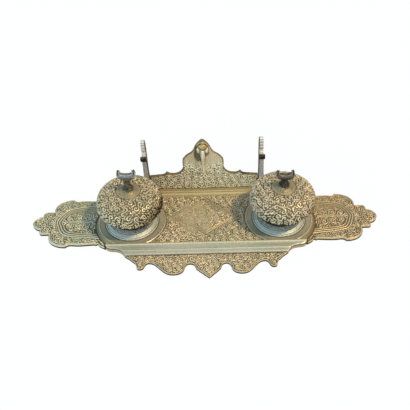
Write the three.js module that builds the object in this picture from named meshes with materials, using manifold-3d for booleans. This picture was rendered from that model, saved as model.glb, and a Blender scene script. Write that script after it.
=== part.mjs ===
// Double inkstand in cast brass: a lobed tray with two lidded inkwells, an upright
// gallery along the back and two pen rests. Millimetres, +Z up, the table at z = 0.
// Sizes are taken from the middle of the deck, with the front towards -Y. The finished
// group then moves along Y, so that its origin lies under the middle of its outline.
import * as THREE from "three";
import { mergeVertices } from "three/addons/utils/BufferGeometryUtils.js";
import Module from "manifold-3d";

const wasm = await Module();
wasm.setup();

// Driving dimensions of the tray
const TRAY_HALF_LENGTH = 180;
const PLATE_THICKNESS = 3.2;
const DECK_HEIGHT = 7;
const DECK_HALF_LENGTH = 101;
const DECK_FRONT_Y = -35.2;
const DECK_BACK_Y = 31;
const DECK_SKIN = 3.4;
const DECK_RIM = 7;
const BAND_WIDTH = 12.8;
const BAND_DROP = 1.6;
const BAND_STEP = 0.5;
const BAND_END_INSET = 20;
const BAND_FILLET = 1.5;
const LEDGE_HEIGHT = 10;
const LEDGE_WIDTH = 12.5;
const CORNICE_WIDTH = 4.5;
const CORNICE_FILLET = 1;
const RECESS_CORNER_CUT = 22;
const RECESS_BACK_RIM = 3;

// Driving dimensions of the wings at each end, on the back half, from the body outwards
const WING_HALF_WIDTH = 31.5;
const WING_ROOT_GAP = 3;
const WING_ROOT_TAPER = 0.8;
const WING_NOTCH_X = 109.4;
const WING_NOTCH_WIDTH = 5;
const WING_NOTCH_DEPTH = 3.2;
const WING_CUSP_X = 141;
const WING_CUSP_Y = 33.2;
const WING_CUSP_LENGTH = 5;
const WING_LOBE_X = 160.2;
const WING_SMALL_LOBE_X = 170.8;
const WING_SMALL_LOBE_Y = 15.6;
const WING_SMALL_LOBE_ROUND = 3.4;
const WING_TIP_NOTCH_Y = 9.2;
const WING_TIP_FULLNESS = 4.6;

// Driving dimensions of the scalloped apron along the front
const APRON_SHOULDER_X = 76;
const APRON_SHOULDER_Y = -51.5;
const APRON_SHOULDER_SLOPE = 3.5;
const FINGER_X = 66;
const FINGER_TIP_Y = -64.5;
const FINGER_WIDTH = 7;
const FINGER_ROUND = 3.6;
const LOBE_X = 34;
const LOBE_Y = -71.6;
const LOBE_HALF_WIDTH = 11;
const ARCH_X = 57;
const ARCH_Y = -56.8;
const NOTCH_X = 17.7;
const NOTCH_Y = -58.6;
const NOTCH_CUSP_Y = -65;
const NOTCH_HALF_WIDTH = 5.6;
const POINT_Y = -76.5;
const POINT_FLARE = 7;

// Driving dimensions of the gallery, its outline taken above the table
const GALLERY_FACE_Y = 40;
const GALLERY_THICKNESS = 3.5;
const GALLERY_HALF_LENGTH = 57.6;
const GALLERY_END_TOP = 27.5;
const GALLERY_CUSP_X = 39;
const GALLERY_CUSP_TOP = 33;
const GALLERY_CUSP_WIDTH = 5;
const GALLERY_DIP_TOP = 30.1;
const GALLERY_DIP_WIDTH = 6.5;
const GALLERY_NECK_X = 21.3;
const GALLERY_NECK_TOP = 41.1;
const GALLERY_SHOULDER_TOP = 49.5;
const GALLERY_OGEE_X = 11.5;
const GALLERY_OGEE_TOP = 62.5;
const GALLERY_TIP_WIDTH = 4.8;
const GALLERY_TIP_DROP = 5;
const GALLERY_TOP = 76.8;
const BUD_HEIGHT = 69;
const BUD_RADIUS = 5;
const BUD_STRETCH = 1.15;
const BUD_PROUD = 1.2;
const BUD_TAIL_LENGTH = 22;
const BUD_TAIL_RADIUS = 3.6;

// Driving dimensions of the pen rests
const PEN_REST_X = 61;
const PEN_REST_THICKNESS = 5.2;
const PEN_REST_FOOT_FRONT = 37;
const PEN_REST_FOOT_BACK = 47;
const PEN_REST_FOOT_FLARE = 3;
const PEN_REST_WAIST = 3.8;
const PEN_REST_TOP = 77;
const POST_FRONT_Y = 41.8;
const POST_DEPTH = 4.6;
const HOOK_BOWL_HEIGHT = 58.4;
const HOOK_RADIUS = 4.1;
const HOOK_WALL = 2.8;
const HOOK_TIP_RISE = 3.6;
const HOOK_UNDERSIDE_DROP = 6.5;
const POST_BEADS = 3;
const POST_BEAD_DEPTH = 2;
const POST_TOP_CURL = 3.6;
const PEN_REST_LEAN = { left: -1.3, right: -2.6 };

// Driving dimensions of the wells and their liners
const WELL_X = 76;
const WELL_Y = -4;
const WELL_PLATFORM_RADIUS = 35.2;
const WELL_PLATFORM_SLOPE = 2;
const WELL_FLANGE_RADIUS = 27.7;
const WELL_FLANGE_HEIGHT = 1.6;
const WELL_SLOPE_HEIGHT = 3.9;
const WELL_SLOPE_WIDTH = 3.1;
const WELL_BEAD_HEIGHT = 5.6;
const WELL_BEAD_WIDTH = 1.9;
const WELL_RING_HEIGHT = 7.6;
const WELL_RING_WIDTH = 1.3;
const WELL_NECK_HEIGHT = 10;
const WELL_NECK_RADIUS = 19.9;
const WELL_RIM_FLARE = 3;
const WELL_RIM_RADIUS = 22.6;
const WELL_RIM_HEIGHT = 28.5;
const WELL_FLOOR = 4.5;
const WELL_BORE_RADIUS = 17.6;
const LINER_CLEARANCE = 0.4;
const LINER_WALL = 1.8;
const LINER_FLOOR = 2.4;
const LINER_LIP_WIDTH = 2;
const LINER_LIP_HEIGHT = 1.8;
const LINER_SINK = 0.4;
const LINER_EDGE = 2;

// Driving dimensions of the lids
const LID_RADIUS = 32.5;
const LID_WIDEST_HEIGHT = 31;
const LID_CROWN_RISE = 19.4;
const LID_FULLNESS = 3.4;
const LID_SKIRT_DROP = 5;
const LID_SKIRT_RADIUS = 29.4;
const LID_WALL = 2.2;
const LID_RING_RADIUS = 27.9;
const LID_RING_THICKNESS = 2;
const LID_COLLAR_HEIGHT = 2.2;
const LID_COLLAR_WALL = 1.6;
const LID_SEAT_CLEARANCE = 2.2;
const LID_RING_HOLE_RADIUS = 19.8;
const LID_OFFSET = { left: 0, right: 1.8 };

// Driving dimensions of the crescent finials
const FINIAL_BASE_RADIUS = 11.6;
const FINIAL_BASE_HEIGHT = 0.5;
const FINIAL_COLLAR_STEP = 0.8;
const FINIAL_RING_RADIUS = 4.9;
const FINIAL_STEM_RADIUS = 3.1;
const FINIAL_COVE_HEIGHT = 3.6;
const FINIAL_STEM_LENGTH = { left: 12.4, right: 7.4 };
const CRESCENT_WIDTH = 19;
const CRESCENT_HEIGHT = 10.4;
const CRESCENT_THICKNESS = 5.6;
const CRESCENT_BELLY = 5.2;
const HORN_SPLIT_DEPTH = 2.1;

// Driving dimensions of the fasteners
const RUNNING_GAP = 0.3;
const STUD_RADIUS = 2;
const STUD_REACH = 4.2;
const NUT_RADIUS = 4.4;
const NUT_THICKNESS = 2.6;
const WASHER_THICKNESS = 0.8;
const WASHER_RADIUS = 5.6;
const BOLT_RADIUS = 2;
const BOLT_HEAD_RADIUS = 4.2;
const BOLT_HEAD_HEIGHT = 1.9;
const BOLT_GRIP_IN_WELL = 3;
const SCREW_RADIUS = 1.25;
const SCREW_HEAD_RADIUS = 2.6;
const SCREW_HEAD_HEIGHT = 1.8;
const SCREW_GRIP = 6;
const GALLERY_SCREW_PITCH = 40;
const SLOT_WIDTH_SHARE = 0.3;
const SLOT_DEPTH = 0.7;

// Facets of the round pieces
const ROUND_SIDES = 32;
const LINER_SIDES = 24;
const FINIAL_SIDES = 20;
const SMALL_SIDES = 12;
const NUT_SIDES = 6;
const BUD_RINGS = 8;
const DOME_STEPS = 7;
const ARC_STEPS = 5;

const RECESS_ROOF = DECK_HEIGHT - DECK_SKIN;
const LEDGE_BACK_Y = DECK_BACK_Y + CORNICE_WIDTH + LEDGE_WIDTH;
const BAND_FRONT_Y = DECK_FRONT_Y - BAND_WIDTH;
const LID_TOP = LID_WIDEST_HEIGHT + LID_CROWN_RISE;
const LINER_LEDGE_HEIGHT = WELL_RIM_HEIGHT - LINER_LIP_HEIGHT - LINER_SINK / 2;
const ORIGIN_SHIFT_Y = -(POINT_Y + LEDGE_BACK_Y) / 2;
const OVERRUN = 1;

// Patinated metals and glass
const CAST_BRASS = { color: 0x9c8559, roughness: 0.5, metalness: 0.9 };
const LID_BRASS = { color: 0x94794a, roughness: 0.48, metalness: 0.9 };
const DARK_BRASS = { color: 0x6c5c3f, roughness: 0.55, metalness: 0.85 };
const STEEL = { color: 0x77736c, roughness: 0.45, metalness: 0.9 };
const GLASS = { color: 0xb9c9c2, roughness: 0.1, metalness: 0.0 };

// Solids for joining and cutting

function toSolid(geometry) {
  const bare = geometry.clone();
  bare.deleteAttribute("normal");
  bare.deleteAttribute("uv");
  const welded = mergeVertices(bare, 1e-4);
  return new wasm.Manifold(new wasm.Mesh({
    numProp: 3,
    vertProperties: Float32Array.from(welded.attributes.position.array),
    triVerts: Uint32Array.from(welded.index.array),
  }));
}

function toGeometry(solid) {
  const mesh = solid.getMesh();
  const geometry = new THREE.BufferGeometry();
  geometry.setAttribute("position", new THREE.BufferAttribute(Float32Array.from(mesh.vertProperties), 3));
  geometry.setIndex(new THREE.BufferAttribute(Uint32Array.from(mesh.triVerts), 1));
  geometry.computeVertexNormals();
  return geometry;
}

function joined(first, ...others) {
  return others.reduce((sum, other) => sum.add(other), first);
}

function cut(body, ...tools) {
  return tools.reduce((rest, tool) => rest.subtract(tool), body);
}

// A flat outline raised along Z from one height to another
function prism(outline, bottom, top) {
  const shape = outline instanceof THREE.Shape ? outline : new THREE.Shape(outline);
  const geometry = new THREE.ExtrudeGeometry(shape, {
    depth: top - bottom,
    bevelEnabled: false,
    curveSegments: ARC_STEPS,
  });
  geometry.translate(0, 0, bottom);
  return toSolid(geometry);
}

// An outline in X and Z, given a thickness along Y behind its face
function uprightPlate(shape, faceY, thickness) {
  const geometry = new THREE.ExtrudeGeometry(shape, {
    depth: thickness,
    bevelEnabled: false,
    curveSegments: ARC_STEPS,
  });
  geometry.rotateX(Math.PI / 2);
  geometry.translate(0, faceY + thickness, 0);
  return toSolid(geometry);
}

// A section in Y and Z, run along X over a length centred on x = 0
function alongX(shape, length) {
  const geometry = new THREE.ExtrudeGeometry(shape, {
    depth: length,
    bevelEnabled: false,
    curveSegments: ARC_STEPS,
  });
  geometry.rotateX(Math.PI / 2);
  geometry.rotateZ(Math.PI / 2);
  geometry.translate(-length / 2, 0, 0);
  return toSolid(geometry);
}

// A profile of radius and height turned round a vertical axis
function turned(profile, sides = ROUND_SIDES) {
  const points = profile.map(([radius, height]) => new THREE.Vector2(radius, height));
  const geometry = new THREE.LatheGeometry(points, sides);
  geometry.rotateX(Math.PI / 2);
  return toSolid(geometry);
}

function disc(radius, bottom, top, sides = SMALL_SIDES) {
  return turned([[0, bottom], [radius, bottom], [radius, top], [0, top]], sides);
}

function tube(inner, outer, bottom, top, sides = ROUND_SIDES) {
  return turned([[inner, bottom], [outer, bottom], [outer, top], [inner, top], [inner, bottom]], sides);
}

// Tray outline: one quarter wing, drawn from the body to the tip, used four times
function wingEdge() {
  const lobe = WING_LOBE_X - WING_CUSP_X;
  const drop = WING_CUSP_Y - WING_SMALL_LOBE_Y;
  const tip = TRAY_HALF_LENGTH - WING_SMALL_LOBE_X;
  const rootY = WING_HALF_WIDTH - WING_ROOT_TAPER;
  const edge = new THREE.Path();
  edge.moveTo(DECK_HALF_LENGTH + WING_ROOT_GAP, rootY);
  edge.lineTo(WING_NOTCH_X - WING_NOTCH_WIDTH / 2, rootY);
  edge.lineTo(WING_NOTCH_X, rootY - WING_NOTCH_DEPTH);
  edge.lineTo(WING_NOTCH_X + WING_NOTCH_WIDTH / 2, rootY);
  edge.lineTo(WING_CUSP_X - WING_CUSP_LENGTH, WING_HALF_WIDTH);
  edge.quadraticCurveTo(
    WING_CUSP_X - 0.4 * WING_CUSP_LENGTH, WING_HALF_WIDTH,
    WING_CUSP_X, WING_CUSP_Y,
  );
  edge.bezierCurveTo(
    WING_CUSP_X + 0.42 * lobe, WING_CUSP_Y + 0.03 * drop,
    WING_LOBE_X + 0.05 * lobe, WING_CUSP_Y - 0.28 * drop,
    WING_LOBE_X - 0.03 * lobe, WING_SMALL_LOBE_Y + 0.08 * drop,
  );
  edge.lineTo(WING_LOBE_X, WING_SMALL_LOBE_Y);
  edge.lineTo(WING_SMALL_LOBE_X - WING_SMALL_LOBE_ROUND, WING_SMALL_LOBE_Y);
  edge.quadraticCurveTo(
    WING_SMALL_LOBE_X + 0.07 * tip, WING_SMALL_LOBE_Y - 0.3 * WING_SMALL_LOBE_ROUND,
    WING_SMALL_LOBE_X, WING_TIP_NOTCH_Y,
  );
  edge.bezierCurveTo(
    WING_SMALL_LOBE_X + 0.54 * tip, 0.96 * WING_TIP_NOTCH_Y,
    TRAY_HALF_LENGTH, WING_TIP_FULLNESS,
    TRAY_HALF_LENGTH, 0,
  );
  return edge.getPoints(ARC_STEPS);
}

// The S-shaped end of the front band and of the back ledge, from the deck corner inwards
function bodyEnd(edgeY, outerY) {
  const reach = outerY - edgeY;
  const end = new THREE.Path();
  end.moveTo(DECK_HALF_LENGTH, edgeY);
  end.quadraticCurveTo(
    DECK_HALF_LENGTH - 0.05 * BAND_END_INSET, edgeY + 0.36 * reach,
    DECK_HALF_LENGTH - 0.4 * BAND_END_INSET, edgeY + 0.42 * reach,
  );
  end.quadraticCurveTo(
    DECK_HALF_LENGTH - 0.85 * BAND_END_INSET, edgeY + 0.5 * reach,
    DECK_HALF_LENGTH - BAND_END_INSET, outerY,
  );
  return end.getPoints(ARC_STEPS);
}

// The right half of the apron, from its shoulder to the centre point
function apronEdge() {
  const half = FINGER_WIDTH / 2;
  const fingerRoot = APRON_SHOULDER_Y - 1.4 * APRON_SHOULDER_SLOPE;
  const fingerTop = FINGER_TIP_Y + FINGER_ROUND;
  const archReach = ARCH_X - LOBE_X;
  const edge = new THREE.Path();
  edge.moveTo(APRON_SHOULDER_X, APRON_SHOULDER_Y);
  edge.lineTo(APRON_SHOULDER_X - APRON_SHOULDER_SLOPE, APRON_SHOULDER_Y - APRON_SHOULDER_SLOPE);
  edge.quadraticCurveTo(FINGER_X + half, fingerRoot, FINGER_X + 0.9 * half, fingerTop);
  edge.quadraticCurveTo(FINGER_X + 0.7 * half, FINGER_TIP_Y, FINGER_X, FINGER_TIP_Y);
  edge.quadraticCurveTo(FINGER_X - half, FINGER_TIP_Y, FINGER_X - 1.3 * half, fingerTop);
  edge.quadraticCurveTo(ARCH_X + 0.13 * archReach, ARCH_Y, ARCH_X, ARCH_Y);
  edge.bezierCurveTo(
    ARCH_X - 0.4 * archReach, ARCH_Y,
    LOBE_X + LOBE_HALF_WIDTH, LOBE_Y,
    LOBE_X, LOBE_Y,
  );
  edge.quadraticCurveTo(
    LOBE_X - 0.82 * LOBE_HALF_WIDTH, LOBE_Y,
    NOTCH_X + NOTCH_HALF_WIDTH, NOTCH_CUSP_Y,
  );
  edge.quadraticCurveTo(NOTCH_X + 0.82 * NOTCH_HALF_WIDTH, NOTCH_Y, NOTCH_X, NOTCH_Y);
  edge.quadraticCurveTo(
    NOTCH_X - 0.82 * NOTCH_HALF_WIDTH, NOTCH_Y,
    NOTCH_X - NOTCH_HALF_WIDTH, NOTCH_CUSP_Y,
  );
  edge.bezierCurveTo(
    POINT_FLARE, NOTCH_CUSP_Y + 0.45 * (POINT_Y - NOTCH_CUSP_Y),
    0.43 * POINT_FLARE, NOTCH_CUSP_Y + 0.75 * (POINT_Y - NOTCH_CUSP_Y),
    0, POINT_Y,
  );
  return edge.getPoints(ARC_STEPS);
}

function mirrored(points) {
  const other = points.map((point) => new THREE.Vector2(-point.x, point.y)).reverse();
  return points.concat(other);
}

function distinct(points) {
  return points.filter((point, index) => {
    const next = points[(index + 1) % points.length];
    return point.distanceTo(next) > 0.02;
  });
}

function plateOutline() {
  const wing = wingEdge();
  const wingBack = wing.map((point) => point.clone());
  const wingFront = wing.map((point) => new THREE.Vector2(point.x, -point.y)).reverse();
  const right = [
    new THREE.Vector2(0, LEDGE_BACK_Y),
    ...bodyEnd(DECK_BACK_Y, LEDGE_BACK_Y).reverse(),
    ...wingBack,
    ...wingFront,
    ...bodyEnd(DECK_FRONT_Y, BAND_FRONT_Y),
    ...apronEdge(),
  ];
  return distinct(mirrored(right)).reverse();
}

function deckOutline() {
  const right = [
    new THREE.Vector2(0, LEDGE_BACK_Y),
    ...bodyEnd(DECK_BACK_Y, LEDGE_BACK_Y).reverse(),
    ...bodyEnd(DECK_FRONT_Y, BAND_FRONT_Y),
    new THREE.Vector2(0, BAND_FRONT_Y),
  ];
  return distinct(mirrored(right)).reverse();
}

// What the sloping front band leaves out of the deck block
function bandSlope() {
  const section = new THREE.Shape();
  const start = DECK_FRONT_Y - BAND_FILLET;
  const low = DECK_HEIGHT - BAND_STEP - BAND_DROP;
  section.moveTo(start, DECK_HEIGHT + OVERRUN);
  section.lineTo(start, DECK_HEIGHT - BAND_STEP);
  section.lineTo(BAND_FRONT_Y, low);
  section.lineTo(BAND_FRONT_Y - OVERRUN, low);
  section.lineTo(BAND_FRONT_Y - OVERRUN, DECK_HEIGHT + OVERRUN);
  return alongX(section, 2 * (DECK_HALF_LENGTH + OVERRUN));
}

// The cornice that climbs from the deck to the ledge under the gallery
function ledgeBlock() {
  const rise = LEDGE_HEIGHT - DECK_HEIGHT;
  const top = DECK_BACK_Y + CORNICE_WIDTH;
  const section = new THREE.Shape();
  section.moveTo(DECK_BACK_Y, DECK_HEIGHT - OVERRUN);
  section.lineTo(DECK_BACK_Y, DECK_HEIGHT + 0.25 * rise);
  section.quadraticCurveTo(
    top - 1.6 * CORNICE_FILLET, DECK_HEIGHT + 0.3 * rise,
    top - CORNICE_FILLET, DECK_HEIGHT + 0.8 * rise,
  );
  section.lineTo(top, LEDGE_HEIGHT);
  section.lineTo(LEDGE_BACK_Y + OVERRUN, LEDGE_HEIGHT);
  section.lineTo(LEDGE_BACK_Y + OVERRUN, DECK_HEIGHT - OVERRUN);
  const run = alongX(section, 2 * (DECK_HALF_LENGTH + OVERRUN));
  return run.intersect(prism(deckOutline(), DECK_HEIGHT - OVERRUN, LEDGE_HEIGHT + OVERRUN));
}

// Round platforms that carry the wells and stand out from the deck's ends onto the wings
function wellPlatforms() {
  const foot = WELL_PLATFORM_RADIUS + WELL_PLATFORM_SLOPE;
  const profile = [
    [0, 0],
    [foot, 0],
    [foot, PLATE_THICKNESS],
    [WELL_PLATFORM_RADIUS, DECK_HEIGHT],
    [0, DECK_HEIGHT],
  ];
  const depth = DECK_BACK_Y - DECK_FRONT_Y;
  const strip = new THREE.BoxGeometry(2 * TRAY_HALF_LENGTH, depth, 2 * DECK_HEIGHT + OVERRUN);
  strip.translate(0, DECK_FRONT_Y + depth / 2, 0);
  return joined(...[-1, 1].map((side) => turned(profile).translate([side * WELL_X, WELL_Y, 0])))
    .intersect(toSolid(strip));
}

function recess() {
  const shape = new THREE.Shape();
  const side = DECK_HALF_LENGTH - DECK_RIM;
  const frontY = DECK_FRONT_Y + DECK_RIM;
  const shoulderY = DECK_BACK_Y - DECK_RIM + RECESS_BACK_RIM;
  shape.moveTo(-side, frontY);
  shape.lineTo(side, frontY);
  shape.lineTo(side, shoulderY);
  shape.lineTo(side - RECESS_CORNER_CUT, LEDGE_BACK_Y - RECESS_BACK_RIM);
  shape.lineTo(RECESS_CORNER_CUT - side, LEDGE_BACK_Y - RECESS_BACK_RIM);
  shape.lineTo(-side, shoulderY);
  const rounds = [-1, 1].map((end) => {
    const round = disc(WELL_PLATFORM_RADIUS - DECK_RIM, -OVERRUN, RECESS_ROOF, ROUND_SIDES);
    return round.translate([end * WELL_X, WELL_Y, 0]);
  });
  return joined(prism(shape, -OVERRUN, RECESS_ROOF), ...rounds);
}

function screwPlaces() {
  const y = GALLERY_FACE_Y + GALLERY_THICKNESS / 2;
  const gallery = [-1, 0, 1].map((step) => ({ x: step * GALLERY_SCREW_PITCH, y }));
  const restY = (PEN_REST_FOOT_FRONT + PEN_REST_FOOT_BACK) / 2;
  const rests = [-1, 1].map((side) => ({ x: side * PEN_REST_X, y: restY }));
  return { gallery, rests };
}

function trayGeometry() {
  const plate = prism(plateOutline(), 0, PLATE_THICKNESS);
  const deck = cut(prism(deckOutline(), 0, DECK_HEIGHT), bandSlope());
  let body = cut(joined(plate, deck, wellPlatforms(), ledgeBlock()), recess());
  const hole = SCREW_RADIUS + RUNNING_GAP;
  const places = screwPlaces();
  for (const place of [...places.gallery, ...places.rests]) {
    body = cut(body, disc(hole, 0, LEDGE_HEIGHT + OVERRUN).translate([place.x, place.y, 0]));
  }
  for (const side of [-1, 1]) {
    const bolt = disc(BOLT_RADIUS + RUNNING_GAP, 0, DECK_HEIGHT + OVERRUN);
    body = cut(body, bolt.translate([side * WELL_X, WELL_Y, 0]));
  }
  return toGeometry(body);
}

// Gallery: a stepped and cusped plate with an ogee crest and a carved bud near its top

function galleryShape() {
  const cuspFoot = GALLERY_CUSP_X + GALLERY_CUSP_WIDTH;
  const rise = GALLERY_CUSP_TOP - GALLERY_END_TOP;
  const dipX = GALLERY_CUSP_X - GALLERY_DIP_WIDTH;
  const neckRise = GALLERY_NECK_TOP - GALLERY_DIP_TOP;
  const right = new THREE.Path();
  right.moveTo(GALLERY_HALF_LENGTH, LEDGE_HEIGHT);
  right.lineTo(GALLERY_HALF_LENGTH, GALLERY_END_TOP);
  right.lineTo(cuspFoot, GALLERY_END_TOP + 0.25 * rise);
  right.quadraticCurveTo(
    GALLERY_CUSP_X + 0.3 * GALLERY_CUSP_WIDTH, GALLERY_END_TOP + 0.36 * rise,
    GALLERY_CUSP_X, GALLERY_CUSP_TOP,
  );
  right.quadraticCurveTo(
    GALLERY_CUSP_X - 0.3 * GALLERY_DIP_WIDTH, GALLERY_DIP_TOP,
    dipX, GALLERY_DIP_TOP,
  );
  right.bezierCurveTo(
    GALLERY_NECK_X + 0.45 * (dipX - GALLERY_NECK_X), GALLERY_DIP_TOP,
    GALLERY_NECK_X, GALLERY_DIP_TOP + 0.36 * neckRise,
    GALLERY_NECK_X, GALLERY_NECK_TOP,
  );
  right.quadraticCurveTo(
    1.04 * GALLERY_NECK_X, GALLERY_SHOULDER_TOP,
    0.95 * GALLERY_NECK_X, GALLERY_SHOULDER_TOP + 0.3 * GALLERY_TIP_DROP,
  );
  right.quadraticCurveTo(
    1.52 * GALLERY_OGEE_X, (GALLERY_SHOULDER_TOP + GALLERY_OGEE_TOP) / 2,
    GALLERY_OGEE_X, GALLERY_OGEE_TOP,
  );
  right.quadraticCurveTo(
    0.65 * GALLERY_OGEE_X, GALLERY_OGEE_TOP + 0.9 * GALLERY_TIP_DROP,
    GALLERY_TIP_WIDTH, GALLERY_TOP - GALLERY_TIP_DROP,
  );
  right.quadraticCurveTo(0.54 * GALLERY_TIP_WIDTH, GALLERY_TOP, 0, GALLERY_TOP);
  return new THREE.Shape(distinct(mirrored(right.getPoints(ARC_STEPS))));
}

function budSolid() {
  const bulb = new THREE.SphereGeometry(BUD_RADIUS, SMALL_SIDES, BUD_RINGS);
  bulb.scale(1, 1, BUD_STRETCH);
  bulb.translate(0, GALLERY_FACE_Y - BUD_PROUD, BUD_HEIGHT);
  const tail = new THREE.ConeGeometry(BUD_TAIL_RADIUS, BUD_TAIL_LENGTH, SMALL_SIDES);
  tail.rotateX(-Math.PI / 2);
  tail.translate(0, GALLERY_FACE_Y, BUD_HEIGHT - BUD_RADIUS / 2 - BUD_TAIL_LENGTH / 2);
  return joined(toSolid(bulb), toSolid(tail));
}

function galleryGeometry() {
  const plate = uprightPlate(galleryShape(), GALLERY_FACE_Y, GALLERY_THICKNESS);
  const clear = 2 * BUD_TAIL_LENGTH;
  const behind = new THREE.BoxGeometry(clear, clear, 2 * clear);
  behind.translate(0, GALLERY_FACE_Y + GALLERY_THICKNESS + clear / 2, BUD_HEIGHT);
  let body = joined(plate, cut(budSolid(), toSolid(behind)));
  const hole = SCREW_RADIUS + RUNNING_GAP;
  const depth = LEDGE_HEIGHT + SCREW_GRIP + RUNNING_GAP;
  for (const place of screwPlaces().gallery) {
    body = cut(body, disc(hole, LEDGE_HEIGHT - OVERRUN, depth).translate([place.x, place.y, 0]));
  }
  return toGeometry(body);
}

// Pen rests: an S-shaped post cut from plate, with a hook for the pen and a beaded top

function penRestShape() {
  const hookY = POST_FRONT_Y - HOOK_RADIUS;
  const hookZ = HOOK_BOWL_HEIGHT + HOOK_RADIUS;
  const tipTop = HOOK_BOWL_HEIGHT + HOOK_TIP_RISE;
  const tipInner = hookY - HOOK_RADIUS;
  const tipOuter = tipInner - HOOK_WALL;
  const underside = HOOK_BOWL_HEIGHT - HOOK_UNDERSIDE_DROP;
  const backY = POST_FRONT_Y + POST_DEPTH;
  const waistFront = PEN_REST_FOOT_FRONT + PEN_REST_FOOT_FLARE;
  const waistBack = waistFront + PEN_REST_WAIST;
  const stemRise = underside - LEDGE_HEIGHT;
  const beadFoot = hookZ + 0.25 * HOOK_RADIUS;
  const beadPitch = (PEN_REST_TOP - POST_TOP_CURL - beadFoot) / POST_BEADS;
  const shape = new THREE.Shape();
  shape.moveTo(PEN_REST_FOOT_FRONT, LEDGE_HEIGHT);
  shape.quadraticCurveTo(
    waistFront - 0.17 * PEN_REST_FOOT_FLARE, LEDGE_HEIGHT + 0.12 * stemRise,
    waistFront, LEDGE_HEIGHT + 0.38 * stemRise,
  );
  shape.quadraticCurveTo(waistFront, LEDGE_HEIGHT + 0.82 * stemRise, hookY, underside);
  shape.quadraticCurveTo(
    tipOuter + 0.2 * HOOK_WALL, underside + 0.45 * HOOK_UNDERSIDE_DROP,
    tipOuter, tipTop - HOOK_WALL / 2,
  );
  shape.quadraticCurveTo(
    tipOuter + HOOK_WALL / 2, tipTop + 0.57 * HOOK_WALL,
    tipInner, tipTop - 0.2 * HOOK_WALL,
  );
  shape.quadraticCurveTo(tipInner + 0.2 * HOOK_RADIUS, HOOK_BOWL_HEIGHT, hookY, HOOK_BOWL_HEIGHT);
  shape.quadraticCurveTo(
    POST_FRONT_Y - 0.1 * HOOK_RADIUS, HOOK_BOWL_HEIGHT,
    POST_FRONT_Y, hookZ,
  );
  for (let bead = 0; bead < POST_BEADS; bead += 1) {
    const low = beadFoot + bead * beadPitch;
    shape.lineTo(POST_FRONT_Y, low);
    shape.quadraticCurveTo(
      POST_FRONT_Y - POST_BEAD_DEPTH, low + beadPitch / 2,
      POST_FRONT_Y, low + beadPitch,
    );
  }
  shape.quadraticCurveTo(
    POST_FRONT_Y - POST_TOP_CURL, PEN_REST_TOP - POST_TOP_CURL / 2,
    POST_FRONT_Y - POST_TOP_CURL / 4, PEN_REST_TOP,
  );
  shape.lineTo(backY - 0.3 * POST_DEPTH, PEN_REST_TOP);
  shape.quadraticCurveTo(
    backY + 0.25 * POST_DEPTH, (PEN_REST_TOP + hookZ) / 2,
    backY, hookZ,
  );
  shape.quadraticCurveTo(
    backY - 0.1 * POST_DEPTH, underside,
    waistBack, LEDGE_HEIGHT + 0.78 * stemRise,
  );
  shape.quadraticCurveTo(
    waistBack - 0.1 * PEN_REST_WAIST, LEDGE_HEIGHT + 0.34 * stemRise,
    PEN_REST_FOOT_BACK, LEDGE_HEIGHT,
  );
  return shape;
}

function penRestGeometry(side, lean) {
  const foot = screwPlaces().rests[0].y;
  const holeTop = LEDGE_HEIGHT + SCREW_GRIP + RUNNING_GAP;
  const hole = disc(SCREW_RADIUS + RUNNING_GAP, LEDGE_HEIGHT - OVERRUN, holeTop);
  const plate = alongX(penRestShape(), PEN_REST_THICKNESS);
  const geometry = toGeometry(cut(plate, hole.translate([0, foot, 0])));
  const position = geometry.attributes.position;
  const straight = holeTop + SCREW_RADIUS;
  const span = PEN_REST_TOP - straight;
  for (let index = 0; index < position.count; index += 1) {
    const above = Math.max(0, position.getZ(index) - straight);
    position.setX(index, position.getX(index) + side * PEN_REST_X + (lean * above) / span);
  }
  geometry.computeVertexNormals();
  return geometry;
}

// Wells: a turned cup with a moulded foot, and a glass liner hanging in it by its lip

function wellGeometry() {
  const foot = DECK_HEIGHT;
  const flange = WELL_FLANGE_RADIUS;
  const neck = WELL_NECK_RADIUS;
  const slopeTop = foot + WELL_SLOPE_HEIGHT;
  const slopeRise = WELL_SLOPE_HEIGHT - WELL_FLANGE_HEIGHT;
  const beadTop = foot + WELL_BEAD_HEIGHT;
  const ringTop = foot + WELL_RING_HEIGHT;
  const lipBore = WELL_BORE_RADIUS + LINER_LIP_WIDTH;
  const body = turned([
    [0, foot],
    [flange, foot],
    [flange, foot + WELL_FLANGE_HEIGHT],
    [flange - 0.33 * WELL_SLOPE_WIDTH, foot + WELL_FLANGE_HEIGHT + 0.4 * slopeRise],
    [flange - WELL_SLOPE_WIDTH, slopeTop],
    [neck + 0.9 * WELL_BEAD_WIDTH, (3 * slopeTop + beadTop) / 4],
    [neck + WELL_BEAD_WIDTH, beadTop],
    [neck + 0.9 * WELL_RING_WIDTH, (3 * beadTop + 2 * ringTop) / 5],
    [neck + WELL_RING_WIDTH, ringTop],
    [neck + 0.25 * WELL_RING_WIDTH, (2 * ringTop + foot + WELL_NECK_HEIGHT) / 3],
    [neck, foot + WELL_NECK_HEIGHT],
    [neck + 0.1 * WELL_RIM_FLARE, WELL_RIM_HEIGHT - 2 * WELL_RIM_FLARE],
    [WELL_RIM_RADIUS, WELL_RIM_HEIGHT - WELL_RIM_FLARE],
    [WELL_RIM_RADIUS, WELL_RIM_HEIGHT],
    [lipBore, WELL_RIM_HEIGHT],
    [lipBore, LINER_LEDGE_HEIGHT],
    [WELL_BORE_RADIUS, LINER_LEDGE_HEIGHT],
    [WELL_BORE_RADIUS, foot + WELL_FLOOR],
    [0, foot + WELL_FLOOR],
  ]);
  const boltTop = foot + BOLT_GRIP_IN_WELL + RUNNING_GAP;
  return toGeometry(cut(body, disc(BOLT_RADIUS + RUNNING_GAP, foot - OVERRUN, boltTop)));
}

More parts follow.
